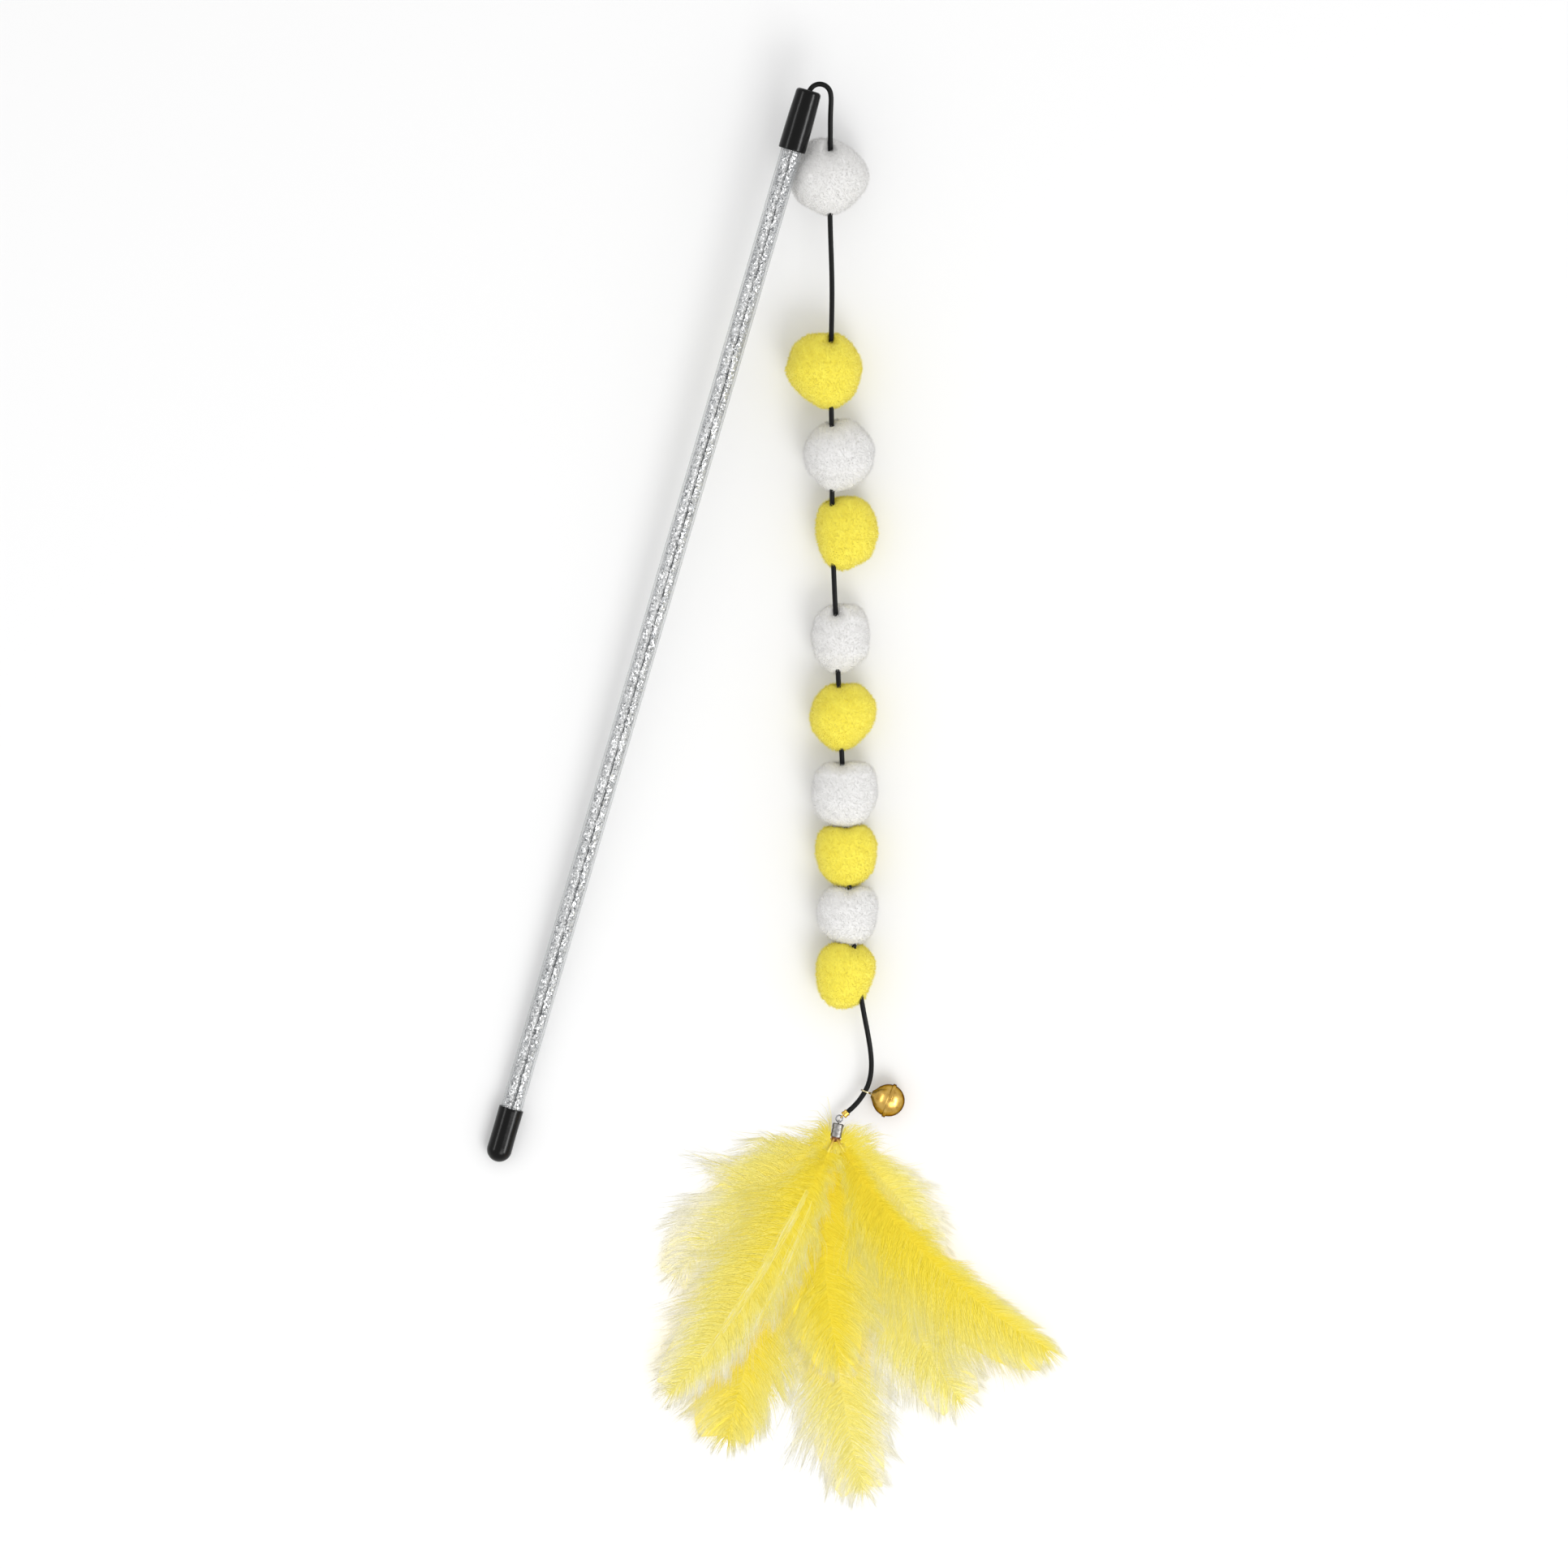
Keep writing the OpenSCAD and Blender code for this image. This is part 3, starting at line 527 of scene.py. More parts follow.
pileSet = {
    "fibreLength": 1.0, "fibreWidth": 0.16, "fibresPerMm2": 3.6, "lean": 1.0, "wave": 0.25, "skinShare": 0.55,
    "white": "#E9E8E7", "whiteDeep": "#DFDEDC", "yellow": "#F2E658", "yellowDeep": "#EADA48", "lumps": 0.16,
    # photograph's pixels: rows of (y, left, right), then where the string goes in and comes out
    "balls": [
        ("white", [
            (171, 1000, 1030), (176, 994, 1040), (185, 988, 1053), (197, 981, 1064),
            (209, 976, 1070), (220, 974, 1072), (233, 974, 1068), (243, 978, 1061),
            (252, 985, 1053), (259, 1000, 1043), (264, 1014, 1030),
        ], (1023, 189), (1020.5, 263)),
        ("yellow", [
            (411, 996, 1036), (416, 988, 1043), (424, 978, 1051), (438, 972, 1060),
            (457, 966, 1063), (475, 974, 1058), (489, 987, 1052), (497, 1000, 1043),
            (503, 1014, 1030),
        ], (1023.5, 425), (1024, 503)),
        ("white", [
            (516, 1022, 1048), (520, 1014, 1056), (532, 999, 1069), (544, 991, 1077),
            (556, 989, 1079), (568, 990, 1078), (580, 992, 1074), (592, 1004, 1065),
            (605, 1020, 1043),
        ], (1025.5, 525), (1024.6, 604)),
        ("yellow", [
            (612, 1024, 1058), (616, 1017, 1066), (624, 1009, 1074), (638, 1005, 1080),
            (657, 1004, 1083), (675, 1007, 1079), (689, 1014, 1072), (697, 1022, 1056),
            (702, 1032, 1045),
        ], (1024.6, 620), (1026.3, 700)),
        ("white", [
            (744, 1022, 1054), (748, 1014, 1062), (760, 1002, 1070), (784, 998, 1073),
            (808, 1002, 1070), (820, 1011, 1059), (829, 1024, 1042),
        ], (1030, 760), (1031, 829)),
        ("yellow", [
            (842, 1022, 1058), (845, 1016, 1064), (852, 1009, 1071), (865, 1001, 1080),
            (882, 996, 1080), (899, 999, 1074), (912, 1009, 1063), (919, 1018, 1054),
            (924, 1028, 1043),
        ], (1033, 846), (1037, 923)),
        ("white", [
            (938, 1020, 1068), (941, 1013, 1073), (952, 1002, 1080), (976, 999, 1083),
            (990, 1000, 1080), (1000, 1003, 1075), (1010, 1011, 1070), (1016, 1022, 1060),
        ], (1036.4, 944), (1041, 1016)),
        ("yellow", [
            (1016, 1020, 1066), (1019, 1013, 1071), (1026, 1007, 1077), (1038, 1004, 1082),
            (1056, 1004, 1081), (1073, 1009, 1077), (1084, 1018, 1067), (1091, 1030, 1055),
        ], (1042, 1020), (1047, 1091)),
        ("white", [
            (1091, 1024, 1070), (1095, 1016, 1076), (1105, 1009, 1081), (1117, 1005, 1083),
            (1130, 1006, 1082), (1143, 1008, 1079), (1154, 1016, 1074), (1161, 1028, 1062),
        ], (1046, 1096), (1052, 1161)),
        ("yellow", [
            (1161, 1022, 1062), (1165, 1016, 1067), (1172, 1010, 1073), (1184, 1005, 1080),
            (1200, 1004, 1079), (1217, 1006, 1073), (1230, 1011, 1066), (1238, 1018, 1056),
            (1243, 1028, 1046),
        ], (1052, 1166), (1061, 1236)),
    ],
}


def fromPhoto(x, y):
    return (x - shot["originX"]) / shot["pixelsPerMm"], (shot["originY"] - y) / shot["pixelsPerMm"]


def pileMaterial(name, light, deep):
    # brushed acrylic pile: dead matt, with a painted highlight: the fibre ends are painted paler, where they
    # would catch the light
    material, tree, shader = newMaterial(name, {
        "Roughness": 0.95, "Specular IOR Level": 0.15, "Sheen Weight": 0.25, "Sheen Roughness": 0.5})
    spot = addNode(tree, "ShaderNodeTexCoord")
    tuft = addNode(tree, "ShaderNodeTexNoise", {"Scale": 420, "Detail": 4, "Roughness": 0.6},
                   {"Vector": spot.outputs["Object"]})
    shade = addNode(tree, "ShaderNodeValToRGB", links={"Fac": tuft.outputs["Fac"]},
                    stops=[(0.25, linear(deep)), (0.7, linear(light))])
    ends = addNode(tree, "ShaderNodeAttribute", attribute_name="along")
    tipHighlight = addNode(tree, "ShaderNodeMix", {7: linear(light)},
                   {0: ends.outputs["Fac"], 6: shade.outputs["Color"]}, data_type="RGBA")
    tree.links.new(tipHighlight.outputs[2], shader.inputs["Base Color"])
    return material


def groupInputs(tree, sockets):
    for name, kind in sockets:
        tree.interface.new_socket(name=name, in_out="INPUT", socket_type="NodeSocket" + kind)
    tree.interface.new_socket(name="Geometry", in_out="OUTPUT", socket_type="NodeSocketGeometry")
    return addNode(tree, "NodeGroupInput")


def grown(piece, tree, values):
    # Runs a node tree on a piece and keeps the result as its plain mesh
    layer = piece.modifiers.new("grow", "NODES")
    layer.node_group = tree
    for item in tree.interface.items_tree:
        if item.in_out == "INPUT" and item.name in values:
            layer[item.identifier] = values[item.name]
    bpy.context.view_layer.update()
    graph = bpy.context.evaluated_depsgraph_get()
    mesh = bpy.data.meshes.new_from_object(piece.evaluated_get(graph), preserve_all_data_layers=True,
                                           depsgraph=graph)
    piece.modifiers.remove(layer)
    old = piece.data
    piece.data = mesh
    bpy.data.meshes.remove(old)
    mesh.name = piece.name
    mesh.shade_smooth()
    return piece


def pileTree():
    tree = bpy.data.node_groups.new("brushedPile", "GeometryNodeTree")
    start = groupInputs(tree, [
        ("Geometry", "Geometry"), ("Fibres Per Area", "Float"), ("Length", "Float"), ("Width", "Float"),
        ("Lean", "Float"), ("Wave", "Float"), ("Seed", "Int"), ("Finish", "Material")])
    fibre = addNode(tree, "GeometryNodeMeshCone", {
        "Vertices": 3, "Side Segments": 2, "Radius Top": 0.15, "Radius Bottom": 0.5, "Depth": 1.0},
        fill_type="NONE")
    place = addNode(tree, "GeometryNodeInputPosition")
    parts = addNode(tree, "ShaderNodeSeparateXYZ", links={0: place})
    marked = addNode(tree, "GeometryNodeStoreNamedAttribute", {"Name": "along"},
                     {"Geometry": fibre.outputs["Mesh"], "Value": parts.outputs["Z"]}, data_type="FLOAT",
                     domain="POINT")
    spread = addNode(tree, "GeometryNodeDistributePointsOnFaces", links={
        "Mesh": start.outputs["Geometry"], "Density": start.outputs["Fibres Per Area"],
        "Seed": start.outputs["Seed"]})
    tilt = addNode(tree, "FunctionNodeRandomValue", {0: (-1, -1, -1), 1: (1, 1, 1)},
                   {"Seed": start.outputs["Seed"]}, data_type="FLOAT_VECTOR")
    tilt = addNode(tree, "ShaderNodeVectorMath", links={0: tilt, "Scale": start.outputs["Lean"]},
                   operation="SCALE")
    way = addNode(tree, "ShaderNodeVectorMath", links={0: spread.outputs["Normal"], 1: tilt}, operation="ADD")
    turn = addNode(tree, "FunctionNodeAlignRotationToVector", links={"Vector": way}, axis="Z")
    share = addNode(tree, "FunctionNodeRandomValue", {2: 0.55, 3: 1.15}, {"Seed": start.outputs["Seed"]},
                    data_type="FLOAT")
    tall = addNode(tree, "ShaderNodeMath", links={0: start.outputs["Length"], 1: share.outputs[1]},
                   operation="MULTIPLY")
    scale = addNode(tree, "ShaderNodeCombineXYZ",
                    links={0: start.outputs["Width"], 1: start.outputs["Width"], 2: tall})
    copies = addNode(tree, "GeometryNodeInstanceOnPoints", links={
        "Points": spread.outputs["Points"], "Instance": marked.outputs["Geometry"],
        "Rotation": turn.outputs[0], "Scale": scale})
    both = addNode(tree, "GeometryNodeJoinGeometry")
    tree.links.new(copies.outputs["Instances"], both.inputs[0])
    tree.links.new(start.outputs["Geometry"], both.inputs[0])
    loose = addNode(tree, "GeometryNodeRealizeInstances", links={"Geometry": both})
    along = addNode(tree, "GeometryNodeInputNamedAttribute", {"Name": "along"}, data_type="FLOAT")
    here = addNode(tree, "GeometryNodeInputPosition")
    swirl = addNode(tree, "ShaderNodeTexNoise", {"Scale": 650.0, "Detail": 1.0}, {"Vector": here})
    swirl = addNode(tree, "ShaderNodeVectorMath", {1: (0.5, 0.5, 0.5)}, {0: swirl.outputs["Color"]},
                    operation="SUBTRACT")
    force = addNode(tree, "ShaderNodeMath", links={0: start.outputs["Wave"], 1: along.outputs["Attribute"]},
                    operation="MULTIPLY")
    shift = addNode(tree, "ShaderNodeVectorMath", links={0: swirl, "Scale": force}, operation="SCALE")
    bent = addNode(tree, "GeometryNodeSetPosition", links={"Geometry": loose, "Offset": shift})
    finish = addNode(tree, "GeometryNodeSetMaterial",
                     links={"Geometry": bent, "Material": start.outputs["Finish"]})
    addNode(tree, "NodeGroupOutput", links={0: finish})
    return tree


def ballMesh(index, rows, goesIn, comesOut):
    # Rings down the photographed outline, round in depth, dimpled where the string passes
    skin = pileSet["skinShare"] * pileSet["fibreLength"]
    y, left, right = np.array(rows, float).T
    left, y = fromPhoto(left, y)
    right, _ = fromPhoto(right, 0)
    middle, half = (left + right) / 2, (right - left) / 2
    wide = half.max()
    y = np.concatenate([[y[0] + 0.25], y, [y[-1] - 0.25]])
    middle = np.concatenate([[middle[0]], middle, [middle[-1]]])
    square = np.concatenate([[0], half ** 2, [0]])
    shrink = 1 - skin / (np.ptp(y) / 2)
    centreY = (y[0] + y[-1]) / 2
    ringCount, sides = 44, 72
    angles = np.linspace(90, -90, ringCount)
    ringY = centreY + np.ptp(y) / 2 * np.sin(np.radians(angles))
    ringSquare = np.interp(-ringY, -y, square)
    ringMiddle = np.interp(-ringY, -y, middle)
    kernel = np.array([1, 2, 1]) / 4
    ringSquare[1:-1] = np.convolve(ringSquare, kernel, "valid")
    ringMiddle[1:-1] = np.convolve(ringMiddle, kernel, "valid")
    levelZ = wide  # as deep as it is wide, and it lies on the table
    inX, inY = fromPhoto(*goesIn)
    outX, outY = fromPhoto(*comesOut)
    points, faces = [], []
    for i in range(ringCount):
        radius = max(0.0, math.sqrt(max(0, ringSquare[i])) - skin)
        for k in range(sides):
            turn = 2 * math.pi * k / sides
            x = ringMiddle[i] + radius * math.cos(turn)
            z = levelZ + radius * math.sin(turn)
            p = Vector((x, centreY + (ringY[i] - centreY) * shrink, z))
            lump = noise.noise(p * 0.16 + Vector((7.3 * index, 0, 0))) + 0.5 * noise.noise(p * 0.38)
            out = (p - Vector((ringMiddle[i], centreY, levelZ))).normalized()
            p += out * lump * pileSet["lumps"] * 2
            if z > levelZ:
                pit = math.exp(-((p.x - inX) ** 2 + (p.y - inY - 0.8) ** 2) / 7.5)
                p -= Vector((0, 0.4, 1.0)) * pit * 1.5
                # the pile is pressed down under the string until it goes in
                pressed = math.exp(-((p.x - inX) / 1.9) ** 2) / (1 + math.exp(-4 * (p.y - inY)))
                under = float(np.interp(-p.y, -mainString[:, 1], mainString[:, 2])) - 0.9
                p.z -= max(0, p.z - under) * pressed
            # the pile hangs over the string where it comes out
            hood = math.exp(-(0.15 * (p.x - outX) ** 2 + (p.y - outY - 1) ** 2
                              + ((p.z - levelZ - wide * 0.45) * 0.5) ** 2) / 8)
            p.y -= 1.2 * hood
            p.z = max(p.z, 0.75)
            points.append(p * mm)
    for i in range(ringCount - 1):
        for k in range(sides):
            a, b = i * sides + k, i * sides + (k + 1) % sides
            faces.append((a, b, b + sides, a + sides))
    for start, flip in ((0, True), ((ringCount - 1) * sides, False)):
        hub = len(points)
        points.append(sum((points[start + k] for k in range(sides)), Vector()) / sides)
        for k in range(sides):
            a, b = start + k, start + (k + 1) % sides
            faces.append((a, hub, b) if flip else (a, b, hub))
    return points, faces


pileMaterials = {
    "white": pileMaterial("brushedWhitePile", pileSet["white"], pileSet["whiteDeep"]),
    "yellow": pileMaterial("brushedYellowPile", pileSet["yellow"], pileSet["yellowDeep"]),
}
brushed = pileTree()
mainString = stringLine[stringLine[:, 1] < 0.246] / mm
mainString = mainString[np.argmax(mainString[:, 0] > 15):]
for index, (tint, rows, goesIn, comesOut) in enumerate(pileSet["balls"]):
    points, faces = ballMesh(index, rows, goesIn, comesOut)
    node = "pompom_%02d" % (index + 1)
    ball = newObject("pompom%02d" % (index + 1), points, faces, pileMaterials[tint])
    grown(ball, brushed, {
        "Fibres Per Area": pileSet["fibresPerMm2"] * 1e6, "Length": pileSet["fibreLength"] * mm,
        "Width": pileSet["fibreWidth"] * mm, "Lean": pileSet["lean"], "Wave": pileSet["wave"] * mm,
        "Seed": index, "Finish": pileMaterials[tint]})
    spots = np.empty(3 * len(ball.data.vertices), np.float32)
    ball.data.vertices.foreach_get("co", spots)
    spots[2::3] = np.maximum(spots[2::3], 0.1 * mm)
    ball.data.vertices.foreach_set("co", spots)
    settle(ball, node, [node])
print("stage: pompoms")


# The bell: two pressed brass shells rolled together, a wire loop and a loose steel ball

bellSet = {
    "diameter": 11.4, "wall": 0.4, "band": 1.25, "slit": 1.0, "slitEnd": 2.2, "reach": 8.6,
    "wire": 0.64, "loopGap": 0.35, "ball": 3.0,
}
ballRoll = joints["bell_ball_roll"]
bellPlace = Place(ballRoll["pos_m"], ballRoll["axis"])


def metalMaterial(name, colour, roughness, scratchPerMetre=1400, bump=0.000015, deep=None, rim=None):
    # drawn or pressed metal: bright, with fine rubbed lines and slightly duller patches
    material, tree, shader = newMaterial(name, {"Metallic": 1.0, "Specular Tint": linear(rim or colour)})
    spot = addNode(tree, "ShaderNodeTexCoord")
    patch = grainBump(tree, shader, spot.outputs["Object"], scratchPerMetre, bump, strength=0.5)
    dull = addNode(tree, "ShaderNodeMapRange", {"To Min": roughness * 0.75, "To Max": roughness * 1.35},
                   {"Value": patch.outputs["Fac"]})
    tree.links.new(dull.outputs[0], shader.inputs["Roughness"])
    tint = addNode(tree, "ShaderNodeValToRGB", links={"Fac": patch.outputs["Fac"]},
                   stops=[(0.3, linear(deep or colour)), (0.65, linear(colour))])
    # painted shade: the colour darkens towards the rim colour where the metal turns away, where its sheen
    # would drop
    edgeOn = addNode(tree, "ShaderNodeLayerWeight", {"Blend": 0.5})
    edgeOn = addNode(tree, "ShaderNodeMapRange", {"From Min": 0.45, "From Max": 0.95, "To Max": 0.85},
                     {"Value": edgeOn.outputs["Facing"]})
    tint = addNode(tree, "ShaderNodeMix", {7: linear(rim or colour)}, {0: edgeOn, 6: tint.outputs["Color"]},
                   data_type="RGBA")
    tree.links.new(tint.outputs[2], shader.inputs["Base Color"])
    return material


# each rim colour is both the gloss's edge tint and the painted shade at the metal's edges
brass = metalMaterial("polishedPressedBrass", "#CDA95C", 0.28, 420, 0.00004, deep="#AE8840", rim="#5E4510")
paleBrass = metalMaterial("drawnBrassWire", "#BBB08E", 0.22, rim="#6A6048")
nickel = metalMaterial("nickelPlatedWire", "#77787B", 0.34, rim="#3E3F41")
aluminium = metalMaterial("crimpedAluminium", "#868482", 0.46, 900, 0.00003, deep="#706E6B", rim="#53514E")
steel = metalMaterial("brightSteelBall", "#A9A9A7", 0.12)
cupBrass = metalMaterial("brassCup", "#C9A650", 0.3, 700, rim="#6A4C14")

outer, thin, band = bellSet["diameter"] / 2, bellSet["wall"], bellSet["band"]
bandRadius = outer + thin + 0.05
below, above = band * 0.7, band * 0.3
neck = bellSet["wire"] * 2
loopRadius = stringSet["diameter"] / 2 + bellSet["loopGap"] + bellSet["wire"] / 2
neckTop = bellSet["reach"] - loopRadius - bellSet["wire"]
inner = outer - thin


upperProfile = (
    arc(inner, 82, 2, 20) + [(inner, -0.02), (outer + 0.05, -0.02), (outer + 0.05, -below + 0.12)]
    + rounded((bandRadius - 0.2, -below + 0.2), 0.2, -90, 0, 5)
    + rounded((bandRadius - 0.18, above - 0.18), 0.18, 0, 90, 5)
    + [(outer - 0.02, above + 0.05)] + arc(outer, 8, 42, 12)
    + [(outer * 0.62, outer * 0.8), (outer * 0.44, outer * 0.92), (neck * 1.35, neckTop - 0.55),
       (neck, neckTop - 0.12), (neck - 0.15, neckTop), (neck * 0.4, neckTop),
       (neck * 0.38, neckTop - 0.4), (inner * 0.1, inner * 0.99)]
)
points, faces = lathe(bellPlace, upperProfile, sides=112)
newPiece("bellUpperShell", points, faces, brass, "bell", "bell_brass", ["bell_upper_shell"])

# The lower shell is cut by a slit with round ends
lowerProfile = arc(inner, -0.5, -90, 30)[:-1] + [(0, -inner)]
lowerOuter = [(0, -outer)] + arc(outer, -90, -0.5, 34)[1:]
points, faces = lathe(bellPlace, lowerOuter + lowerProfile, sides=112, closed=False)
shell = newObject("bellLowerShell", points, faces, brass)


def cutter(name, outline, place, low, high):
    # A prism over a closed outline in the place's x and y, in mm
    n = len(outline)
    points = [place.point(x * mm, y * mm, z * mm) for z in (low, high) for x, y in outline]
    faces = [tuple(reversed(range(n))), tuple(range(n, 2 * n))]
    faces += [(k, (k + 1) % n, n + (k + 1) % n, n + k) for k in range(n)]
    mesh = bpy.data.meshes.new(name)
    mesh.from_pydata([tuple(p) for p in points], [], faces)
    return inScene(name, mesh)


half, hole, out = bellSet["slit"] / 2, bellSet["slitEnd"] / 2, outer * 0.6
lip = math.sqrt(hole ** 2 - half ** 2)
turnStart = math.degrees(math.atan2(half, -lip))
dumbBell = rounded((out, 0), hole, turnStart, -turnStart, 25)
dumbBell += [(-x, -y) for x, y in dumbBell]
slitCutter = cutter("slitCutter", dumbBell, bellPlace, -outer * 2, -0.6)
cut = shell.modifiers.new("slit", "BOOLEAN")
cut.object = slitCutter
cut.operation = "DIFFERENCE"
cut.solver = "EXACT"
bpy.context.view_layer.update()
graph = bpy.context.evaluated_depsgraph_get()
mesh = bpy.data.meshes.new_from_object(shell.evaluated_get(graph), depsgraph=graph)
shell.modifiers.remove(cut)
shell.data = mesh
bpy.data.objects.remove(slitCutter)
mesh.materials.clear()
mesh.materials.append(brass)
mesh.shade_smooth()
mesh.set_sharp_from_angle(angle=math.radians(40))
settle(shell, "bell", ["bell_lower_shell"])

# The loop's shank goes through the neck to a head inside
loopPlace = Place(bellPlace.point(0, 0, bellSet["reach"] * mm), bellPlace.y)
headTop = math.sqrt(inner ** 2 - neck ** 2) - 0.05
shank = bellSet["wire"] * 0.7
headBottom, loopBottom = headTop - bellSet["wire"], bellSet["reach"] - loopRadius
shankProfile = [
    (0, headBottom), (neck * 0.92, headBottom), (neck, headBottom + 0.1), (neck, headTop - 0.08),
    (neck * 0.92, headTop), (shank, headTop + 0.02), (shank, loopBottom - 0.1),
    (shank * 0.7, loopBottom + 0.05), (0, loopBottom + 0.05),
]
points, faces = joined(wireRing(loopPlace, loopRadius, bellSet["wire"] / 2),
                       lathe(bellPlace, shankProfile, sides=40, closed=False))
newPiece("bellLoop", points, faces, paleBrass, "bell", "bell_wire", ["bell_loop"])

low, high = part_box("bell_pellet")
ballPlace = Place((low + high) / 2, bellPlace.z)
ballProfile = [(0, -bellSet["ball"] / 2)] + arc(bellSet["ball"] / 2, -85, 85, 24) + [(0, bellSet["ball"] / 2)]
points, faces = lathe(ballPlace, ballProfile, sides=48, closed=False)
newPiece("bellBall", points, faces, steel, "bell_ball", "steel_ball", ["bell_pellet"])
print("stage: bell")


# The end of the string: brass cup, wire ring, crimped ferrule and the glue at its mouth

lureSet = {
    "ring": 2.3, "ringWire": 0.5, "eye": 1.2, "eyeWire": 0.4, "cup": 2.6, "cupLength": 2.0, "cupTurn": 39,
    "ferrule": 4.0, "ferruleLength": 4.6, "ferruleWall": 0.25, "turn": -101,
}
ringAt = Vector(joints["ring_swing"]["pos_m"])
flatRing = Place(ringAt, (0, 0, 1))
points, faces = wireRing(flatRing, lureSet["ring"] / 2, lureSet["ringWire"] / 2)
newPiece("lureRing", points, faces, nickel, "ring", "silver_wire", ["lure_ring"])


def flatWay(turn):
    return Vector((math.cos(math.radians(turn)), math.sin(math.radians(turn)), 0))


eyeReach = (lureSet["eye"] + lureSet["eyeWire"]) / 2
cupWay = flatWay(lureSet["cupTurn"])
cupPlace = Place(ringAt + cupWay * lureSet["ring"] / 2 * mm, cupWay)
cupRadius = lureSet["cup"] / 2
cupStart = eyeReach - lureSet["eyeWire"] / 2
cupEnd = cupStart + lureSet["cupLength"]
cupInner = stringSet["diameter"] / 2 + 0.1
cupProfile = (
    [(0, cupStart)] + rounded((cupRadius - 0.45, cupStart + 0.45), 0.45, -90, 0, 6)
    + [(cupRadius - 0.14, cupStart + 0.95), (cupRadius - 0.14, cupStart + 1.25)]
    + rounded((cupRadius - 0.12, cupEnd - 0.12), 0.12, 0, 90, 4)
    + [(cupInner, cupEnd - 0.05), (cupInner, cupStart + 0.7), (0, cupStart + 0.7)]
)
eyePlace = Place(cupPlace.at, cupPlace.y)
points, faces = joined(wireRing(eyePlace, lureSet["eye"] / 2, lureSet["eyeWire"] / 2, sides=40, girth=12),
                       lathe(cupPlace, cupProfile, sides=64, closed=False))
cupPiece = newPiece("stringCup", points, faces, cupBrass, "string", "cup_brass", ["cord_end_cup"])

lureWay = flatWay(lureSet["turn"])
lurePlace = Place(ringAt + lureWay * lureSet["ring"] / 2 * mm, lureWay)
ferruleRadius = lureSet["ferrule"] / 2
ferruleLength, ferruleWall = lureSet["ferruleLength"], lureSet["ferruleWall"]
ferruleTop = eyeReach + ferruleLength


def crimped(x, y, z):
    # Pliers press the tube nearly square and leave two dents across it
    if math.hypot(x, y) < ferruleRadius * 0.55:
        return x, y, z
    turn = math.atan2(y, x)
    press = math.exp(-((z - eyeReach - ferruleLength * 0.5) / 1.5) ** 2)
    size = 1 - 0.07 * press * (1 + math.cos(4 * turn)) / 2
    dents = [math.exp(-((z - eyeReach - ferruleLength * share) / 0.28) ** 2) for share in (0.36, 0.68)]
    size *= 1 - 0.05 * sum(dents)
    return x * size, y * size, z


ferruleProfile = (
    [(0, cupStart)] + rounded((ferruleRadius - 0.5, cupStart + 0.5), 0.5, -90, 0, 7)
    + [(ferruleRadius, cupStart + 0.5 + (ferruleLength - 0.75) * t) for t in np.linspace(0.04, 1, 22)]
    + rounded((ferruleRadius - 0.1, ferruleTop - 0.1), 0.1, 0, 90, 4)
    + [(ferruleRadius - ferruleWall, ferruleTop - 0.05),
       (ferruleRadius - ferruleWall, eyeReach + ferruleWall * 2 + 0.1), (0, eyeReach + ferruleWall * 2)]
)
eyePlace = Place(lurePlace.at, lurePlace.y)
points, faces = joined(wireRing(eyePlace, lureSet["eye"] / 2, lureSet["eyeWire"] / 2, sides=40, girth=12),
                       lathe(lurePlace, ferruleProfile, closed=False, shape=crimped))
newPiece("ferrule", points, faces, aluminium, "lure", "ferrule_metal", ["ferrule"])

# set hot-melt glue: amber brown, cloudy and glassy
glue, tree, shader = newMaterial("brownHotGlue", {"Roughness": 0.18})
spot = addNode(tree, "ShaderNodeTexCoord")
cloud = grainBump(tree, shader, spot.outputs["Object"], perMetre=900, height=0.00008, strength=0.6)
ramp = addNode(tree, "ShaderNodeValToRGB", links={"Fac": cloud.outputs["Fac"]},
               stops=[(0.3, linear("#4A2408")), (0.7, linear("#8A5220"))])
tree.links.new(ramp.outputs["Color"], shader.inputs["Base Color"])
glueRadius = ferruleRadius - ferruleWall - 0.06
glueStart = ferruleLength * 0.55 + eyeReach
# share of the radius and height over the ferrule's mouth, up the cone that the glue makes round the quills
glueCone = [(1, -0.02), (0.97, 0.25), (0.86, 0.6), (0.66, 1.1), (0.42, 1.7), (0.18, 2.2), (0, 2.35)]
glueProfile = [(0, glueStart), (glueRadius, glueStart)]
glueProfile += [(glueRadius * share, ferruleTop + height) for share, height in glueCone]
points, faces = lathe(lurePlace, glueProfile, sides=64, closed=False)
newPiece("gluePlug", points, faces, glue, "lure", "glue", ["glue_plug"])
print("stage: ring, cup and ferrule")


# The feathers: quill, a thin vane and some thousands of barbs each, laid out as the CAD solids are

